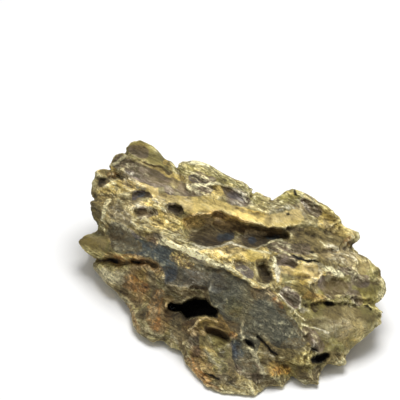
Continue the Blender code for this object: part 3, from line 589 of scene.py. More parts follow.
# Smaller patches, as chains of (u, v, radius) or single spots.
PATCHES = {
    "rust": [
        [(-74, 90, 2.5), (-62, 89.5, 3), (-54, 87, 4), (-47, 83, 3)], [(-64, 74, 6), (-57, 71, 5)],
        [(-46, 66, 4), (-50, 56, 5), (-48, 46, 4)], [(-26, 22, 4), (-18, 10, 4), (-8, 4, 3)], (30, 17, 3),
        [(0, 41, 2), (4, 40, 1.2)], [(-78, 144, 2.5), (-72, 144.5, 2)], [(76, 100, 3), (80, 105, 2)],
        [(29, 64, 2), (33, 59, 1.5)], [(-66, 58, 3), (-60, 44, 3)],
    ],
    "purple": [
        [(-63, 161, 3.5), (-57, 158.5, 4)], [(-72, 152, 4), (-62, 147, 5), (-50, 142, 5), (-34, 137, 4)],
        [(-40, 134, 3.5), (-26, 134, 4), (-14, 134, 3)], [(-2, 134, 3), (3, 130, 5.5), (9, 127, 4)],
        [(49, 126, 2.5), (53, 122.5, 4), (57, 120, 3)], [(60, 75, 4), (67, 71, 7), (75, 70, 4)],
        [(81, 76, 4), (87, 75, 4)], [(81, 66, 4), (83, 63, 3)], [(33, 89, 4), (41, 87, 4)],
        [(27, 97, 2.5), (36, 97, 4), (50, 96, 3)], [(37, 67, 5), (41, 62, 5)], [(50, 42, 4), (57, 34, 4)],
        [(-24, 40, 4), (-23, 30, 4)], [(-20, 141, 5), (-12, 140, 3)], [(12, 23, 5), (18, 20, 4)],
        [(-56, 120, 4.5), (-49, 119, 2.5)], [(-24, 62, 3), (-28, 66, 3)], [(-26, 74, 4), (-18, 78, 4)],
        [(-52, 103, 3), (-44, 104, 2.5)], [(9, 19, 5), (18, 14, 5)], [(66, 80, 3), (80, 82, 3)],
    ],
    "grey": [
        [(-82, 118, 5), (-76, 124, 4), (-70, 115, 6), (-64, 111, 5)], (-66, 119, 5), (0, 97, 3.5),
        [(38, 106, 5), (52, 101, 8), (66, 98, 8), (74, 98, 5)], [(66, 54, 6), (80, 54, 5)],
        [(66, 90, 5), (84, 86, 7)], [(-61, 162, 3.5), (-56, 160, 3.5)], [(40, 30, 7), (50, 26, 5)],
        [(-96, 101, 4), (-86, 98, 6)], [(-60, 128, 4), (-67, 127, 4)], [(-84, 130, 4), (-86, 122, 4)],
        [(14, 10, 8), (4, 8, 6)], [(44, 74, 5), (54, 72, 4)], [(64, 26, 5), (72, 25, 4)],
        [(-34, 36, 6), (-42, 42, 5)], (6, 99, 3),
    ],
    "olive": [
        [(-62, 161, 6), (-54, 159, 6), (-44, 152, 4)], [(-32, 150, 5), (-14, 147, 6), (-2, 140, 5)],
        [(4, 138, 3), (18, 129, 4)], [(36, 131, 5), (44, 130, 5)], [(86, 68, 7), (94, 66, 6)],
        [(-94, 101, 5), (-84, 97, 6)], [(80, 84, 5), (92, 80, 5)], [(-14, 20, 6), (-6, 20, 5)],
        [(-85, 86, 4), (-78, 84, 4)], [(-20, 49, 4), (-12, 50, 4)], [(42, 27, 6), (50, 27, 3)], (68, 33, 5),
        [(32, 78, 3), (44, 74, 4)], [(60, 70, 4), (74, 64, 5)],
        [(48, 58, 6), (58, 58, 6), (72, 60, 4), (90, 57, 4)], [(-7, 36, 5), (-5, 29, 4)],
    ],
    "yellow": [
        [(-84, 135, 3), (-65, 137, 4), (-50, 135, 4)], [(-48, 128, 4), (-38, 128, 3), (-24, 125, 6)],
        [(-14, 125, 5), (0, 120, 5), (14, 117, 4), (30, 114, 4), (42, 117, 5)],
        [(-8, 133, 4), (-14, 130, 4)], [(-46, 115, 6), (-36, 113, 5)],
        [(-20, 91, 4), (-8, 92, 5), (6, 93, 5), (18, 93, 5)], [(36, 84, 4), (48, 84, 5), (58, 80, 4)],
        [(62, 114, 5), (70, 110, 4), (79, 106, 3)], [(30, 82, 3), (31, 76, 3)], [(48, 76, 3), (56, 75, 2)],
        [(8, 51, 1.3), (6.5, 45, 1.5), (9, 39, 1.3)], [(26, 20, 4), (35, 18, 4)],
        [(10, 94, 5), (21, 93, 5)], [(0, 83, 2), (8, 77, 3), (16, 72, 3)],
        [(-56, 124, 3), (-48, 122, 4), (-47, 116, 4)], (-42, 152, 2), [(-50, 148, 2), (-32, 141, 2)],
        [(-86, 149, 3), (-76, 150, 3)],
    ],
    "pale": [
        [(-46, 101, 2), (-38, 98.6, 2.8), (-30, 95.4, 2.6), (-24, 93, 2.4), (-18, 91, 2.2), (-9, 87, 1.2),
        (0, 83, 1)],
        [(-25, 99.5, 0.9), (-15, 96.5, 1), (-6, 97.5, 0.9), (1, 100.5, 0.8), (10, 96.5, 0.7), (16, 96, 0.7),
        (27, 100.5, 0.7), (34, 102, 0.9)], [(10, 96, 0.6), (18, 95, 0.7), (27, 93, 1)],
        [(29, 91, 0.8), (31, 82, 2), (30.5, 75, 1)], [(-79, 128, 1.6), (-82, 121, 1.6), (-83, 115, 1.2)],
        [(-26, 152.5, 2), (-14, 150.5, 1.5)], [(-24, 137, 1), (-8, 138, 1), (2, 136, 1), (10, 129, 1)],
        [(32, 68, 0.7), (37, 60, 0.8), (44, 53, 0.8), (48, 50, 0.7)],
        [(58, 84, 1.8), (66, 83, 2), (73, 79, 1.5)], [(13, 30, 1), (16, 27, 1.4), (20, 22, 0.9)],
        [(-27, 43.5, 0.7), (-21, 48.5, 0.8), (-15, 51.8, 0.9), (-9, 50, 0.7)],
        [(46, 47, 0.8), (56, 45, 0.8), (64, 41, 0.8)], [(45.5, 66, 0.8), (45.5, 58, 0.8)],
        [(58, 101, 0.6), (62, 98, 0.6)], [(-85, 83, 1.6), (-79, 79, 2), (-72, 75.5, 1.6)],
        # The last chain on the next line is painted light on a crease below a ledge.
        [(-84, 150, 1.2), (-75, 151, 1.2), (-68, 156, 1)], [(66, 97, 2), (69, 95, 2)],
    ],
    "blue": [
        [(-6, 103.5, 3), (0, 104.5, 2.6)], (15, 101.2, 2.4), [(24, 102.5, 1.6), (31, 103.5, 1.6)],
        [(6, 84.5, 3), (12, 80.5, 4)], [(-61, 131, 2.6), (-57, 131.5, 2.6)], [(0, 131, 2), (7, 128, 2)],
        [(-50, 97, 5), (-42, 90, 6), (-38, 80, 5)], [(-24, 142, 2.5), (-17, 140, 2)],
        [(-26, 94, 3), (-18, 88, 3)], [(4, 34, 4), (6, 28, 3)], [(-66, 104, 5), (-58, 100, 5)],
        (-62, 129, 2), [(-66, 93.5, 2), (-56, 92.5, 2)],
    ],
    # Painted shade: under overhangs, in pockets and cracks, and the cup's upper crescent.
    "shade": [
        [(-22, 104, 4), (-17, 102.5, 5), (-10, 103.5, 6), (-4, 106, 5.5)], [(28, 106, 5), (34, 105.5, 4)],
        [(-8, 112, 3), (4, 110, 3), (14, 108, 3), (24, 107, 3.4)], [(12, 101, 4), (22, 101.5, 4)],
        [(-56, 152, 0.8), (-46, 148.5, 1), (-38, 145, 0.8)], [(21, 86.5, 4), (22.5, 82, 4.5), (23, 76, 3)],
        [(-84, 88.6, 1), (-74, 87.8, 1.2)], [(-37, 123, 3.4), (-34, 121.5, 3.4)],
        [(-58, 120.3, 2.3), (-55, 119.6, 1.4)], [(-59, 130.3, 1.6), (-54, 130.8, 2), (-51, 130, 1.4)],
        [(-84, 139, 2.6), (-80, 140, 2)], [(50, 37, 1.2), (53, 35, 1)],
        [(-38, 55, 4), (-32, 52, 5), (-23, 50, 3.5)],
        [(-15, 44.5, 1.4), (-10, 42.5, 2.4), (-5, 40.5, 2.8), (-2, 39, 1.8)],
        [(-7, 103.5, 3), (0, 104, 2.5)], [(38, 109.5, 1.6), (46, 108.5, 1.6)], [(54, 60, 1.5), (56, 57, 2)],
        [(-24, 71.5, 1.4), (-17, 70.5, 1.4)], [(84, 98, 1), (78, 99.5, 1.6)],
        [(-71, 68, 0.8), (-65, 64, 0.9), (-60, 59, 0.8)],
    ],
    # Darker tone and painted shade: in pockets, under ledges, round the cave and the cup, and along shadowed
    # edges.
    "darker_tone_and_painted_shade": [
        [(-54, 105.5, 1), (-46, 106.5, 1)], [(34, 88, 3), (40, 86, 3)], [(-38, 82, 4), (-34, 80, 4)],
        [(-66, 161, 4), (-60, 162, 5), (-56, 158, 4)], [(-50, 156, 4), (-42, 150, 4)],
        [(-82, 147, 4), (-72, 154, 4)], [(-50, 145.5, 3), (-42, 143, 3)], [(64, 118, 4), (68, 114, 3)],
        [(-96, 100, 3), (-84, 100, 4), (-78, 97, 4)], (-24, 139, 2.5), [(-10, 76, 4), (-2, 72, 4)],
        (38, 107, 3), [(-20, 104, 4), (-10, 103, 5), (-2, 104, 5)],
        [(8, 101, 4), (18, 100, 5), (28, 102, 4)], [(-24, 101, 3), (-14, 101, 3)], (-42, 142, 4),
        [(44, 100, 5), (56, 98, 4)], [(48, 107, 4), (60, 106, 5)], (24, 77, 3), (-6, 37, 4), (1, 37, 2.5),
        (-18, 38, 4), [(-20, 33, 4), (-22, 28, 3)], [(-91, 132, 3), (-91, 124, 3), (-88, 114, 3)],
        [(-89, 130, 4), (-87, 118, 4)], (60, 88, 4), (-8, 65, 4), (-16, 72, 3),
        [(-10, 98, 3), (0, 96, 3), (12, 96, 2)], (-55, 53, 3), (-68, 67, 3),
        [(-38, 76.5, 3.5), (-28, 75.5, 3)], (-69, 150.5, 1.8), (10, 49, 3), (13, 36, 3), (-71, 138, 3),
        (-62, 128, 3), (25, 114, 3), (86, 94, 4), (97, 80, 3), (38, 29, 4), (71, 103, 5), (60, 92, 3),
        [(-38, 52, 6), (-24, 51, 6), (-8, 52, 5), (2, 46, 5)], [(-36, 56, 4), (-20, 55, 4), (-8, 54, 4)],
        [(46, 72, 4), (51, 66, 4)], [(58, 57, 5), (68, 56, 5)], [(84, 55, 4), (92, 52, 4)],
        [(86, 72, 4), (92, 70, 4)], [(20, 35, 4), (32, 32, 4)], (16, 15, 4), (0, 20, 6), (-20, 37, 4),
        [(0, 28, 4), (1, 14, 4)], [(-87, 128, 4), (-80, 126, 4)], [(48, 66, 5), (34, 59, 4)], (51, 35, 3),
        (46, 17, 5), [(57, 23, 3), (67, 28, 4)], [(-37, 120, 4), (-27, 120, 4)],
        [(-6, 137, 5), (2, 131, 5)],
    ],
    # Pale grey veins, and painted light on the roof of the large hollow and above the pockets.
    "pale_vein_and_painted_light": [
        [(8, 51, 0.7), (8.8, 48, 0.9), (6.5, 45, 1), (6.3, 42, 0.9), (9, 38.5, 0.7)],
        [(-17, 31, 0.8), (-13, 25, 1.4), (-8, 22, 1.2), (-5, 20, 0.8)],
        [(5, 25, 0.6), (10, 24, 0.7), (16, 25, 0.7)],
        [(12, 31, 1.2), (16, 27, 2), (20, 22, 1.4), (23, 14, 0.8)], [(12, 11.5, 0.5), (22, 12, 0.5)],
        [(-25, 41, 0.5), (-24, 46, 0.5)], [(-26, 40, 0.6), (-20, 34, 0.6)], [(24, 70, 0.8), (30, 66, 0.8)],
        [(46, 58, 0.6), (60, 57, 0.6)], [(40, 66, 2), (43, 62, 2.2)], [(-24, 112, 5), (-14, 114, 4)],
        [(12, 106, 3), (22, 105.5, 2)], [(-60, 135.5, 1.2), (-55, 135, 1.2)], (-53, 122, 2),
        [(-26, 89, 1.2), (-12, 86, 1.2)], (20, 87, 1.5), (58, 86, 2), (64, 77, 2.5), (47, 57, 2),
        [(-85, 81, 3.6), (-79, 78, 4)], [(-75, 76, 3.4), (-70, 75, 3)], [(-74, 81, 1.2), (-69, 79, 1.4)],
        [(-37, 40, 1.5), (-34, 36, 1.5)],
    ],
    # More darker tone and painted shade, in pits, the cave's mouth and the cup.
    "deeper_tone_and_painted_shade": [
        [(-20, 101, 3.5), (-12, 100, 4), (-4, 102, 3.5)], (-22, 54.5, 3), [(11, 98.5, 3), (20, 99, 3)],
        (-5, 36, 3), [(-33, 54, 3), (-24, 51.5, 3)], [(-11, 51, 2.5), (-5, 48, 2.5)], (-85, 139, 3),
        (22, 77, 4), (-68, 134, 2), (12, 34, 3), (15, 13, 4), (-42, 64, 3),
    ],
    # Paler tone and painted light, partly where the carved relief lies in shadow.
    "paler_tone_and_painted_light": [
        [(-44, 100.5, 2), (-36, 98, 2.6), (-28, 95, 3), (-18, 92, 3), (-4, 92, 3)],
        [(-18, 49, 3), (-10, 49, 3)], [(-62, 138, 5), (-50, 136, 6), (-40, 136, 5)],
        [(-80, 134, 5), (-79, 121, 5)], (-62, 107, 4), [(-53, 123, 6), (-46, 116, 6)],
        [(-28, 146, 4), (-18, 144, 5)], [(-25, 112, 5), (-16, 114, 4)], [(-30, 87, 5), (-16, 87, 4)],
        [(38, 67, 4), (42, 62, 5), (47, 60, 4), (50, 55, 4)], [(-25, 113, 5), (-14, 115, 5), (-8, 117, 3)],
        [(-34, 74, 5), (-26, 68, 5)], [(-36, 88, 4), (-22, 84, 5), (-16, 78, 4)],
        [(-78, 107, 5), (-70, 106, 4)], (14, 27, 4), [(-56, 153, 3), (-46, 150, 3)],
        [(38, 84, 5), (50, 83, 5), (63, 77, 5)], [(-82, 80, 4), (-72, 78, 5), (-60, 62, 5)],
        [(8, 50, 2), (7, 45, 2), (9, 40, 1.5)], [(-28, 66, 4), (-20, 65, 4)], [(-38, 37, 4), (-33, 37, 4)],
        [(-20, 20, 5), (-14, 12, 6)], (12, 27, 6), (-66, 124, 4), (-6, 36, 5), [(35, 20, 4), (38, 14, 3)],
        [(42, 40, 6), (60, 41, 7), (80, 43, 7)], [(78, 90, 5), (88, 82, 6)], [(4, 117, 4), (20, 121, 6)],
        [(8, 90, 4), (3, 88, 3)], (-66, 118, 4), (-54, 106, 3), (-30, 137, 4), (58, 35, 4), (36, 22, 3),
        (62, 22, 3), (86, 63, 3), (0, 24, 3), (-9, 14, 4), (5, 13, 4), (22, 37, 3), (48, 125, 4),
        (48, 55, 5), [(62, 94, 4), (68, 96, 5)], (-84, 145, 3), (-60, 135, 4), (0, 135, 4),
        [(14, 105, 4), (22, 105, 3)], [(-35, 40, 5), (-25, 28, 5)], [(-74, 76, 5), (-66, 80, 4)],
    ],
    "iron": [
        [(-60, 88, 5), (-58, 78, 6), (-58, 66, 6)], [(-78, 90, 4), (-70, 88, 3)],
        [(-26, 114, 5), (-12, 116, 5), (4, 112, 5), (18, 108, 4), (30, 107, 3)],
        [(-24, 46, 6), (-10, 48, 6), (2, 44, 4)], [(-22, 30, 4), (-16, 14, 6)], [(18, 68, 4), (26, 66, 4)],
        [(50, 66, 3), (60, 64, 3)], [(28, 19, 4), (36, 18, 3)], (-50, 100, 4), [(-40, 62, 4), (-44, 46, 5)],
    ],
    "ochred": [
        [(-62, 165, 4), (-52, 163, 4)], [(-96, 101, 5), (-84, 90, 6), (-66, 88, 5)], (-54, 104, 4),
        [(44, 74, 4), (56, 60, 5), (70, 72, 6)], [(88, 66, 6), (97, 58, 3)],
        [(30, 18, 5), (40, 19, 6), (50, 24, 6)], (-29, 20, 3), (-10, 19, 3), (-85, 85, 3),
        [(14, 92, 4), (22, 86, 3)], [(-30, 112, 4), (-20, 113, 4)], (-36, 139, 4),
        [(62, 124, 5), (70, 114, 5)], [(34, 132, 4), (42, 133, 4)], (2, 58, 6), (-58, 78, 5),
    ],
    "chalky": [
        [(-74, 120, 5), (-67, 115, 4)], [(-66, 142, 5), (-56, 136, 6), (-42, 130, 6)], (-38, 120, 4),
        (-60, 126, 5), [(-14, 100, 5), (-2, 98, 6), (18, 101, 4)], (66, 112, 5), [(52, 84, 5), (56, 79, 4)],
        (5, 127, 5), (-28, 126, 5), (-8, 117, 4), (-20, 98, 4), (-38, 128, 4), (53, 34, 4), (88, 72, 3),
        (63, 65, 3), [(60, 45, 6), (74, 44, 6)], [(-38, 78, 6), (-8, 74, 6)], [(46, 122, 6), (26, 116, 4)],
        [(36, 68, 4), (42, 62, 5), (47, 60, 4)], [(32, 80, 5), (38, 86, 5)], (56, 77, 5),
        [(66, 94, 6), (78, 90, 5)], [(0, 30, 6), (-2, 14, 6)], (26, 31, 5), (-84, 138, 3), (6, 130, 6),
    ],
    "even": [
        [(54, 52, 10), (64, 48, 13), (74, 48, 12), (86, 50, 10)], [(64, 34, 7), (76, 38, 7)],
        [(36, 80, 5), (52, 82, 5)], [(-52, 136, 4), (-24, 126, 5), (-6, 124, 5), (24, 115, 4)],
        [(62, 73, 6), (74, 72, 5), (88, 68, 7)], [(-94, 101, 4), (-84, 99, 6)],
        [(-60, 162, 5), (-48, 156, 5)], [(-52, 144, 7), (-34, 138, 6)], [(6, 92, 4), (20, 92, 4)],
        (88, 82, 5), [(46, 118, 5), (30, 116, 5)],
    ],
    "earth": [
        [(-27, 88, 5), (-21, 81, 5), (-25, 74, 4)], [(-74, 100, 6), (-62, 98, 5)],
        [(-72, 113, 5), (-64, 106, 4)], [(32, 62, 5), (42, 50, 4), (52, 38, 4)], [(38, 34, 5), (46, 35, 4)],
        [(10, 20, 4), (4, 14, 4)],
    ],
    "stain": [
        [(-35, 91, 3), (-30, 89, 5), (-25, 86, 3)], [(30, 17, 3), (36, 18, 3)],
        [(-54, 87, 2.5), (-47, 83, 3), (-45, 78, 2)], [(1, 41, 2), (4, 40, 1.4)],
        [(-26, 18, 3), (-16, 8, 3)],
    ],
    "speckled": [
        [(-34, 103, 3), (-26, 103, 3)],
        [(-46, 101, 5), (-34, 97, 5), (-24, 90, 6), (-18, 82, 6), (-22, 73, 6)],
        [(-36, 72, 5), (-30, 68, 4)], [(-78, 80, 7), (-68, 76, 6)], [(-50, 58, 3), (-50, 50, 2.5)],
        [(-38, 38, 4), (-30, 34, 3)], [(-87, 96, 3), (-85, 94, 2)],
        [(-3, 20, 2.5), (4, 10, 6), (12, 10, 5)], [(-74, 116, 6), (-66, 108, 6)],
        [(28, 48, 4), (34, 40, 3)],
    ],
}
# Kinds of patch that the hidden sides have too.
HIDDEN_KINDS = ("rust", "purple", "grey", "olive", "yellow", "speckled")
# Painted shade, near black: the dark insides of holes and cracks.
HOLE_SHADE_CHAINS = [
    [(-38.5, 59.5, 1.2), (-34, 58, 2.4), (-28, 57, 4.6), (-23, 58.6, 5.4), (-17, 58.4, 5),
    (-10, 55.6, 2.1)], [(-28, 54, 1.3), (-22, 54.2, 2.2), (-14, 54.4, 1.3), (-9, 53.4, 1)],
    [(55.5, 25, 2.5), (58.5, 26, 3.4), (62, 28, 2)], [(63, 61, 1.4), (65.5, 61.3, 1.3)],
    [(53.3, 95, 0.6), (54.3, 95, 0.6)], [(9.5, 38, 0.6), (12, 35.5, 1.2), (14.5, 33, 0.6)],
    [(19, 39, 0.4), (22, 36, 0.5), (26, 31.5, 0.7), (30, 28, 0.6)],
    [(40, 91.7, 0.6), (44, 90.3, 1.1), (50, 89, 0.8), (58, 87.5, 0.3)], [(87, 60, 0.4), (91, 57.5, 0.7)],
    [(52, 31.8, 0.4), (55, 31.3, 0.5)], [(-17, 15.3, 0.4), (-12, 14.3, 0.8), (-7, 12, 0.4)],
    [(37, 118.3, 0.7), (38, 118.2, 0.7)], [(-55, 71.2, 0.7), (-54.5, 71, 0.7)],
    [(-80, 87.8, 0.6), (-73, 87.4, 0.7)], [(-62, 87.4, 0.6), (-59, 87.2, 0.7)],
    [(42, 133, 0.6), (43, 131, 0.7)],
]

FLAKE = (14.0, 2.6)  # mm along and across the bedding
FLAKE_HEIGHT = 0.5  # mm
THIN_LAYER = 3.6  # mm from one thin ledge to the next
THIN_LAYER_STEP = 0.8  # mm
GRIT = (1.3, 1.3, 1.3)  # mm
GRIT_HEIGHT = 0.15  # mm
# Share of the flakes and thin layers that is gone on smooth faces, and how much of that on worn ones.
SMOOTH_LOSS, WORN_LOSS = 0.8, 0.85
DRIFT = (40, 16, 16)  # mm, the size of the patches on the hidden sides
# Rounds of averaging that find crests and hollows about 2, 6 and 13 mm wide.
FINE, MEDIUM, BROAD = 3, 25, 120


def thin_layers(points):
    """Small saw-tooth ledges between the large ones, in millimetres out of the surface."""
    height = points @ unit(STACKED) / MM / THIN_LAYER
    height += 1.3 * noise_at(points, (40, 14, 14), 34) + 0.5 * noise_at(points, (12, 4, 4), 35)
    share = height % 1.0
    strength = smoothstep(-0.35, 0.3, noise_at(points, (26, 14, 14), 36))
    return THIN_LAYER_STEP * strength * (0.5 - share) * smoothstep(0, 0.15, share)


def fine_surface(mesh):
    """Raise thin layers, flakes and grit, which are too small for the solid."""
    points, normals = vertex_array(mesh), vertex_array(mesh, "normal")
    from_drawing = points + np.array(BOX_MIDDLE)
    uv = drawn(from_drawing)
    seen = smoothstep(0.0, 0.35, normals @ TOWARD)
    calm = seen * np.maximum(within(uv, SLATE), WORN_LOSS * within(uv, WORN))
    along, across = FLAKE
    stretched = from_drawing / MM / np.array((along, across, across))
    stretched = stretched + 0.5 * noise_at(from_drawing, (9, 9, 9), 31)[:, None]
    flakes = np.array([noise.ridged_multi_fractal(Vector(p), 0.8, 2.2, 3, 1.0, 2.0) for p in stretched])
    lift = (FLAKE_HEIGHT * (flakes - 1.1) + thin_layers(from_drawing)) * (1 - SMOOTH_LOSS * calm)
    lift += GRIT_HEIGHT * noise_at(from_drawing, GRIT, 33)
    lift *= smoothstep(0.5, 3, points[:, 2] / MM)
    set_vertices(mesh, points + MM * lift[:, None] * normals)


def flatten_underside(mesh):
    """Cut off what is below the floor and close the cut."""
    down = (0, 0, -1)
    with edited(mesh) as bm:
        everything = list(bm.verts) + list(bm.edges) + list(bm.faces)
        floor = {"plane_co": (0, 0, 0), "plane_no": down}
        bmesh.ops.bisect_plane(bm, geom=everything, dist=0.02 * MM, clear_outer=True, **floor)
        rim = [edge for edge in bm.edges if edge.is_boundary]
        bmesh.ops.triangle_fill(bm, use_beauty=True, use_dissolve=False, edges=rim, normal=down)
        bmesh.ops.triangulate(bm, faces=bm.faces)
        bmesh.ops.recalc_face_normals(bm, faces=bm.faces)
        for vert in bm.verts:
            vert.co.z = max(vert.co.z, 0)


def relief(mesh, points, normals, rounds):
    """How far each point stands out of the average around it, in millimetres, for each number of rounds."""
    ends = np.empty(2 * len(mesh.edges), np.int32)
    mesh.edges.foreach_get("vertices", ends)
    one, other = ends.reshape(-1, 2).T
    size = len(points)
    count = np.bincount(one, minlength=size) + np.bincount(other, minlength=size)
    average, found = points.copy(), {}
    for done in range(1, max(rounds) + 1):
        columns = average.T
        total = [np.bincount(one, c[other], size) + np.bincount(other, c[one], size) for c in columns]
        average = np.stack(total, axis=1) / count[:, None]
        if done in rounds:
            found[done] = np.einsum("ij,ij->i", points - average, normals) / MM
    return found


def paint(mesh, name, values):
    layer = mesh.attributes.new(name, "FLOAT", "POINT")
    layer.data.foreach_set("value", np.clip(values, 0, 1).astype(np.float32))


def inside_by(uv, corners):
    """How far inside the outline each point is, in millimetres, negative outside it."""
    nearest, crossings = np.full(len(uv), np.inf), np.zeros(len(uv), int)
    for start, end in zip(corners, corners[1:] + corners[:1]):
        offset, _ = to_segment(uv, start, end)
        nearest = np.minimum(nearest, np.linalg.norm(offset, axis=1))
        spans = (start[1] > uv[:, 1]) != (end[1] > uv[:, 1])
        if start[1] != end[1]:
            crossing = start[0] + (uv[:, 1] - start[1]) * (end[0] - start[0]) / (end[1] - start[1])
            crossings += spans & (uv[:, 0] < crossing)
    return np.where(crossings % 2 == 1, nearest, -nearest)


def patch_field(uv, patches):
    """Distance of each point to the nearest chain or spot, over its radius there."""
    fields = []
    for patch in patches:
        if isinstance(patch, tuple):
            u, v, radius = patch
            patch = [patch, (u + 0.1, v, radius)]
        fields.append(chain_field(uv, patch)[0])
    return np.min(fields, axis=0)


def paint_zones(mesh):
    """Paint each zone on the display side, and drifting patches of the same kinds on the hidden sides."""
    points, normals = vertex_array(mesh), vertex_array(mesh, "normal")
    from_drawing = points + np.array(BOX_MIDDLE)
    seen = smoothstep(-0.1, 0.2, normals @ TOWARD)
    uv = warped(drawn(from_drawing))
    stands_out = relief(mesh, points, normals, (FINE, MEDIUM, BROAD))
    paint(mesh, "sharp_crest", smoothstep(0.02, 0.35, stands_out[FINE]))
    paint(mesh, "sharp_crease", smoothstep(0.02, 0.35, -stands_out[FINE]))
    paint(mesh, "crest", smoothstep(0.1, 1.3, stands_out[MEDIUM]))
    paint(mesh, "hollow", smoothstep(0.1, 1.5, -stands_out[MEDIUM]))
    paint(mesh, "deep", smoothstep(0.5, 5.0, -stands_out[BROAD]))
    for name, outlines, soft in (("slate", SLATE_FACES, 2.5), ("brown", BROWN_SIDE, 6)):
        inside = np.max([inside_by(uv, corners) for corners in outlines], axis=0)
        paint(mesh, name, seen * smoothstep(-soft, soft, inside))
    for seed, (name, patches) in enumerate(PATCHES.items(), 40):
        shown = seen * (1 - smoothstep(0.5, 1.5, patch_field(uv, patches)))
        if name in HIDDEN_KINDS:
            shown = shown + (1 - seen) * smoothstep(0.1, 0.45, noise_at(from_drawing, DRIFT, seed))
        paint(mesh, name, shown)
    paint(mesh, "painted_hole_shade", seen * (1 - smoothstep(0.8, 1.5, patch_field(uv, HOLE_SHADE_CHAINS))))


CLAY_TAN = (0.330, 0.262, 0.108, 1)
CLAY_OLIVE = (0.235, 0.202, 0.078, 1)
YELLOW_OCHRE = (0.650, 0.500, 0.170, 1)
OCHRE = (0.440, 0.325, 0.098, 1)
OLIVE = (0.330, 0.290, 0.100, 1)
PALE_CREST = (0.820, 0.760, 0.460, 1)
GREY_BROWN = (0.165, 0.130, 0.064, 1)
PALE_GREY = (0.330, 0.295, 0.180, 1)
PURPLE_GREY = (0.220, 0.172, 0.118, 1)
DARK_BROWN = (0.068, 0.047, 0.021, 1)
SLATE_GREY = (0.098, 0.096, 0.066, 1)
SLATE_BLUE = (0.055, 0.074, 0.083, 1)
SLATE_OLIVE = (0.150, 0.132, 0.070, 1)
SILT_BLUE = (0.110, 0.110, 0.112, 1)
RUST_ORANGE = (0.310, 0.165, 0.052, 1)
RUST_BROWN = (0.165, 0.100, 0.042, 1)
SOIL = (0.165, 0.124, 0.058, 1)
FLECK_WHITE = (0.640, 0.580, 0.400, 1)
HOLE_SHADE_BLACK = (0.006, 0.005, 0.004, 1)
# These multiply the colour below them, one after another. The darker ones are partly painted shade, and the
# paler one partly painted light.
TINTS = {
    "darker_tone_and_painted_shade": (0.62, 0.60, 0.56, 1),
    "deeper_tone_and_painted_shade": (0.62, 0.60, 0.56, 1),
    "paler_tone_and_painted_light": (1.38, 1.36, 1.32, 1),
    "iron": (1.14, 0.97, 0.82, 1),
    "ochred": (1.03, 1.00, 0.78, 1),
    "chalky": (0.98, 1.00, 1.22, 1),
}

STONE_PAINT = bpy.data.materials.new("weathered clay stone")
STONE_PAINT.use_nodes = True
TREE = STONE_PAINT.node_tree

# Helpers that add to the stone's paint: a value may be a number, a colour or another node's output.


def node(kind, inputs=None, **settings):
    made = TREE.nodes.new(kind)
    for name, value in settings.items():
        setattr(made, name, value)
    for name, value in (inputs or {}).items():
        if isinstance(value, bpy.types.NodeSocket):
            TREE.links.new(value, made.inputs[name])
        else:
            made.inputs[name].default_value = value
    return made


def painted(name):
    return node("ShaderNodeAttribute", attribute_name=name).outputs["Fac"]


def blend(share, under, over, blend_type="MIX"):
    values = {0: share, 6: under, 7: over}
    return node("ShaderNodeMix", values, data_type="RGBA", blend_type=blend_type).outputs[2]


def ramp(value, low, high, to_low=0.0, to_high=1.0):
    values = {"Value": value, "From Min": low, "From Max": high, "To Min": to_low, "To Max": to_high}
    return node("ShaderNodeMapRange", values, interpolation_type="SMOOTHSTEP").outputs["Result"]


def maths(operation, first, second=0.0, third=0.0):
    return node("ShaderNodeMath", {0: first, 1: second, 2: third}, operation=operation).outputs[0]


def mottle(where, size, detail=4.0, roughness=0.55):
    """Noise between 0 and 1 whose blobs are about `size` millimetres wide."""
    values = {"Vector": where, "Scale": 1000 / size, "Detail": detail, "Roughness": roughness}
    return node("ShaderNodeTexNoise", values).outputs["Fac"]


def multiplied(*factors):
    product = factors[0]
    for factor in factors[1:]:
        product = maths("MULTIPLY", product, factor)
    return product


def hairlines(where, size, width):
    """Thin lines where noise crosses its middle value, for a mask between 0 and 1."""
    offset = maths("ABSOLUTE", maths("SUBTRACT", mottle(where, size, 3, 0.5), 0.5))
    return ramp(offset, 0.0, width, 1.0, 0.0)


def zone(name, ragged, low=0.35, high=0.65):
    """A painted zone whose edge is made ragged by noise."""
    wander = multiplied(maths("SUBTRACT", ragged, 0.5), 1.1)
    return ramp(maths("ADD", painted(name), wander), low, high)


def shaded(paint, factor):
    """The paint, made darker or lighter by a factor about 1."""
    grey = node("ShaderNodeCombineColor", {0: factor, 1: factor, 2: factor}).outputs[0]
    return blend(1.0, paint, grey, "MULTIPLY")


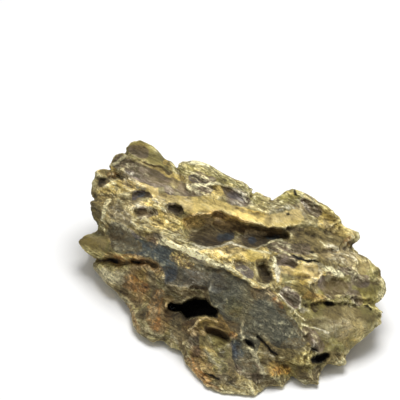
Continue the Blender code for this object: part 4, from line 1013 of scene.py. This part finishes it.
def weathered_clay_stone():
    """The paint of the whole stone, from the clay up to the stains that lie on it."""
    where = node("ShaderNodeTexCoord").outputs["Object"]
    wander = node("ShaderNodeTexNoise", {"Vector": where, "Scale": 70.0, "Detail": 3.0}).outputs["Color"]
    wander = node("ShaderNodeVectorMath", {0: wander, 1: (0.5, 0.5, 0.5)}, operation="SUBTRACT").outputs[0]
    wander = node("ShaderNodeVectorMath", {0: wander, "Scale": 0.006}, operation="SCALE").outputs[0]
    bent = node("ShaderNodeVectorMath", {0: where, 1: wander}, operation="ADD").outputs[0]
    along = node("ShaderNodeMapping", {"Vector": bent, "Scale": (0.16, 1, 1)}).outputs[0]
    askew = {"Vector": bent, "Scale": (0.35, 1, 1), "Location": (0.3, 0.1, 0.2)}
    askew = node("ShaderNodeMapping", askew).outputs[0]

    large = mottle(bent, 24)
    medium = mottle(bent, 8)
    small = mottle(bent, 2.6, 5)
    streaks = mottle(along, 5.0, 6, 0.65)
    threads = mottle(along, 1.6, 5, 0.7)
    grit = mottle(where, 0.9, 3, 0.7)
    ragged = maths("ADD", multiplied(medium, 0.5), multiplied(small, 0.5))

    # Weathered clay: tan and olive, with ochre streaks and grey-brown where it is less worn.
    paint = blend(ramp(large, 0.4, 0.6), CLAY_OLIVE, CLAY_TAN)
    paint = blend(ramp(streaks, 0.52, 0.68, 0.0, 0.8), paint, OCHRE)
    uneven = maths("MULTIPLY_ADD", painted("even"), -0.6, 1.0)
    paint = blend(multiplied(ramp(medium, 0.5, 0.66, 0.0, 0.7), uneven), paint, GREY_BROWN)
    paint = blend(zone("olive", ragged), paint, blend(threads, CLAY_OLIVE, OLIVE))
    grey = blend(ramp(streaks, 0.3, 0.55), GREY_BROWN, CLAY_TAN)
    paint = blend(multiplied(zone("grey", ragged), 0.85), paint, grey)
    yellow = blend(ramp(streaks, 0.28, 0.52), OCHRE, YELLOW_OCHRE)
    paint = blend(zone("yellow", ragged), paint, yellow)
    purple = blend(ramp(threads, 0.35, 0.65), GREY_BROWN, PURPLE_GREY)
    paint = blend(zone("purple", ragged), paint, purple)

    # Soil brown and rust of the lower left.
    soil = blend(ramp(streaks, 0.38, 0.62), SOIL, GREY_BROWN)
    soil = blend(ramp(medium, 0.48, 0.64, 0.0, 0.8), soil, CLAY_OLIVE)
    soil = blend(ramp(small, 0.58, 0.74, 0.0, 0.5), soil, PALE_GREY)
    paint = blend(multiplied(zone("brown", ragged), 0.92), paint, soil)

    # Slate: the broken faces, crossed by thin pale scratches.
    slate = blend(ramp(large, 0.42, 0.62), SLATE_GREY, SLATE_OLIVE)
    slate = blend(ramp(medium, 0.44, 0.6, 0.0, 0.8), slate, SLATE_GREY)
    slate = blend(multiplied(zone("blue", ragged, 0.2, 0.9), 0.7), slate, SLATE_BLUE)
    slate = blend(ramp(small, 0.54, 0.72, 0.0, 0.35), slate, SLATE_OLIVE)
    earthy = blend(ramp(threads, 0.35, 0.65), SOIL, SLATE_GREY)
    slate = blend(zone("earth", ragged), slate, earthy)
    scratch = multiplied(hairlines(askew, 3.2, 0.02), ramp(medium, 0.45, 0.6, 0.0, 0.6))
    slate = blend(scratch, slate, PALE_GREY)
    slaty = zone("slate", ragged, 0.42, 0.58)
    clear = maths("SUBTRACT", 1.0, slaty)
    silted = multiplied(zone("blue", ragged), clear)
    paint = blend(silted, paint, blend(threads, SILT_BLUE, PURPLE_GREY))
    paint = blend(slaty, paint, slate)
    stain = multiplied(zone("stain", ragged, 0.2, 0.9), ramp(grit, 0.42, 0.58, 0.15, 0.9))
    paint = blend(stain, paint, blend(ramp(small, 0.4, 0.6), RUST_BROWN, YELLOW_OCHRE))
    rust = blend(ramp(small, 0.4, 0.62), RUST_BROWN, RUST_ORANGE)
    paint = blend(multiplied(zone("rust", ragged, 0.4, 0.85), 0.75), paint, rust)

    # Hollows hold dark silt and painted shade, creases get painted shade, and crests are worn pale.
    # Dark silt and painted shade in hollows and broad recesses.
    silt_and_shade = maths("MAXIMUM", painted("hollow"), multiplied(painted("deep"), 0.6))
    silt_and_shade = multiplied(silt_and_shade, ramp(small, 0.3, 0.6, 0.3, 0.75))
    paint = blend(silt_and_shade, paint, blend(medium, GREY_BROWN, DARK_BROWN))
    # Painted shade: dark brown, slate blue where blue is painted, under overhangs and in pockets.
    shade = blend(ramp(streaks, 0.4, 0.65), DARK_BROWN, GREY_BROWN)
    shade = blend(zone("blue", ragged, 0.2, 1.0), shade, SLATE_BLUE)
    paint = blend(multiplied(zone("shade", ragged), 0.9), paint, shade)
    # Painted shade, dark brown, in sharp creases.
    paint = blend(multiplied(painted("sharp_crease"), 0.6), paint, DARK_BROWN)
    # Where soil brown, painted shade or darker tone is painted, crests and lines are not made pale.
    soil_and_shade = maths("MAXIMUM", multiplied(painted("brown"), 0.6), painted("shade"))
    clear_of_soil_and_shade = maths("SUBTRACT", 1.0, maths("MAXIMUM", soil_and_shade, painted("darker_tone_and_painted_shade")))
    clear_of_soil_and_shade = multiplied(clear_of_soil_and_shade, uneven)
    worn = multiplied(painted("crest"), ramp(threads, 0.35, 0.6, 0.1, 0.7), clear, clear_of_soil_and_shade)
    paint = blend(worn, paint, blend(ramp(streaks, 0.4, 0.6), YELLOW_OCHRE, PALE_CREST))
    bright = multiplied(zone("pale", ragged, 0.4, 0.95), ramp(threads, 0.35, 0.6, 0.45, 0.95))
    paint = blend(bright, paint, PALE_CREST)
    # Pale grey veins and painted light.
    paint = blend(multiplied(zone("pale_vein_and_painted_light", ragged, 0.4, 0.95), 0.75), paint, PALE_GREY)
    edge = multiplied(painted("sharp_crest"), ramp(small, 0.4, 0.6, 0.1, 0.6), clear_of_soil_and_shade)
    paint = blend(edge, paint, PALE_CREST)

    # Thin pale and dark lines along the bedding, white flecks and grit.
    pale_line = multiplied(
        hairlines(along, 4.5, 0.03), ramp(medium, 0.42, 0.56, 0.0, 0.55), clear, clear_of_soil_and_shade
    )
    paint = blend(pale_line, paint, PALE_CREST)
    dark_line = multiplied(hairlines(askew, 5.5, 0.03), ramp(large, 0.42, 0.58, 0.1, 0.65))
    paint = blend(dark_line, paint, DARK_BROWN)
    fleck = multiplied(zone("speckled", ragged), ramp(mottle(where, 1.3, 4, 0.75), 0.58, 0.74))
    paint = blend(fleck, paint, FLECK_WHITE)
    mottled = shaded(paint, ramp(threads, 0.3, 0.7, 0.48, 1.52))
    mottled = shaded(mottled, ramp(grit, 0.25, 0.75, 0.6, 1.4))
    mottled = shaded(mottled, ramp(small, 0.38, 0.62, 0.84, 1.16))
    paint = blend(uneven, paint, mottled)

    # Darker and paler areas, partly painted shade and painted light, and stained ones change whatever colour
    # is there.
    for name, tint in TINTS.items():
        paint = blend(zone(name, ragged, 0.1, 0.9), paint, tint, "MULTIPLY")
    # Painted shade, near black, inside holes and cracks.
    paint = blend(painted("painted_hole_shade"), paint, HOLE_SHADE_BLACK)

    height = maths("ADD", multiplied(threads, 0.6), multiplied(grit, 0.3))
    height = maths("ADD", height, multiplied(small, 0.5))
    bump = node("ShaderNodeBump", {"Height": height, "Strength": 1.0, "Distance": 0.0014})
    shader = TREE.nodes["Principled BSDF"]
    TREE.links.new(paint, shader.inputs["Base Color"])
    TREE.links.new(ramp(small, 0.3, 0.7, 0.7, 0.95), shader.inputs["Roughness"])
    TREE.links.new(bump.outputs["Normal"], shader.inputs["Normal"])
    shader.inputs["Specular IOR Level"].default_value = 0.3
    return STONE_PAINT


def make_stone():
    """Block out, round, weather and carve the stone as its solid is, and add the fine surface and paint."""
    stone = rough_block()
    bpy.context.scene.collection.objects.link(stone)
    with_modifier(stone, "REMESH", mode="VOXEL", voxel_size=VOXEL)
    smooth(stone.data, round(2 * (ROUNDING / VOXEL) ** 2))
    set_vertices(stone.data, fitted(vertex_array(stone.data), (0.3, 0.1)))
    smooth(stone.data, round(0.4 * (ROUNDING / VOXEL) ** 2))
    weather(stone.data)
    set_vertices(stone.data, fitted(vertex_array(stone.data), (0.15, 0.08, 0.05)))
    carve_display_side(stone.data)
    set_vertices(stone.data, vertex_array(stone.data) - SUNK * MM * UP - np.array(BOX_MIDDLE))
    with_modifier(stone, "REMESH", mode="VOXEL", voxel_size=VOXEL)
    keep_largest_piece(stone.data)
    smooth(stone.data, 1)
    fine_surface(stone.data)
    share = MOST_TRIANGLES / sum(len(face.vertices) - 2 for face in stone.data.polygons)
    with_modifier(stone, "DECIMATE", ratio=min(share, 1.0))
    flatten_underside(stone.data)
    stone.data.shade_smooth()
    paint_zones(stone.data)
    stone.data.materials.clear()
    stone.data.materials.append(weathered_clay_stone())
    return stone


FLOOR_SIDE = 8.0  # m
FLOOR_WHITE = (0.9, 0.9, 0.9, 1)
SKY_STRENGTH = 0.42
LAMP_WIDTH = 0.6  # m
LAMP_POWER = 7.8  # W
LAMP_PLACE = Vector(0.12 * AWAY + 0.12 * RIGHT + 0.9 * UP)
LAMP_AIM = Vector((0, 0, 0.03))


def set_studio():
    """A pale floor under an even white sky, and one soft lamp overhead."""
    scene = bpy.context.scene
    bpy.ops.mesh.primitive_plane_add(size=FLOOR_SIDE)
    floor = bpy.context.object
    floor.name = "floor"
    white = bpy.data.materials.new("white floor")
    white.use_nodes = True
    white.node_tree.nodes["Principled BSDF"].inputs["Base Color"].default_value = FLOOR_WHITE
    white.node_tree.nodes["Principled BSDF"].inputs["Roughness"].default_value = 0.9
    floor.data.materials.append(white)
    scene.world = bpy.data.worlds.new("studio")
    scene.world.use_nodes = True
    sky = scene.world.node_tree.nodes["Background"]
    sky.inputs["Color"].default_value = (1, 1, 1, 1)
    sky.inputs["Strength"].default_value = SKY_STRENGTH
    light = bpy.data.lights.new("overhead", "AREA")
    light.shape = "DISK"
    light.size = LAMP_WIDTH
    light.energy = LAMP_POWER
    lamp = bpy.data.objects.new("overhead", light)
    scene.collection.objects.link(lamp)
    lamp.location = LAMP_PLACE
    lamp.rotation_euler = (LAMP_AIM - LAMP_PLACE).to_track_quat("-Z", "Y").to_euler()
    scene.view_settings.view_transform = "Standard"


LENS = 900.0  # mm
FRAME_WIDTH = 259.4 * MM  # across the rendered frame
FRAME_MIDDLE = (-19.3, 127.7)  # mm, where the frame's middle is on the drawing
FRAME_BEHIND = 40  # mm from the drawing's zero back to the plane that the frame's width is measured in


def set_camera():
    """A long lens square to the display side, which it shows low in the frame and a little right."""
    data = bpy.data.cameras.new("camera")
    data.lens = LENS
    data.clip_start, data.clip_end = 0.05, 20
    camera = bpy.data.objects.new("camera", data)
    bpy.context.scene.collection.objects.link(camera)
    u, v = FRAME_MIDDLE
    middle = MM * (u * RIGHT + v * DRAWN_UP - FRAME_BEHIND * TOWARD) - np.array(BOX_MIDDLE)
    distance = FRAME_WIDTH * LENS / data.sensor_width
    turn = Matrix((Vector(RIGHT), Vector(DRAWN_UP), Vector(TOWARD))).transposed()
    camera.matrix_world = Matrix.Translation(Vector(middle + distance * TOWARD)) @ turn.to_4x4()
    bpy.context.scene.camera = camera


stone = make_stone()
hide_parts("stone")
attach(stone, "root")
set_studio()
set_camera()
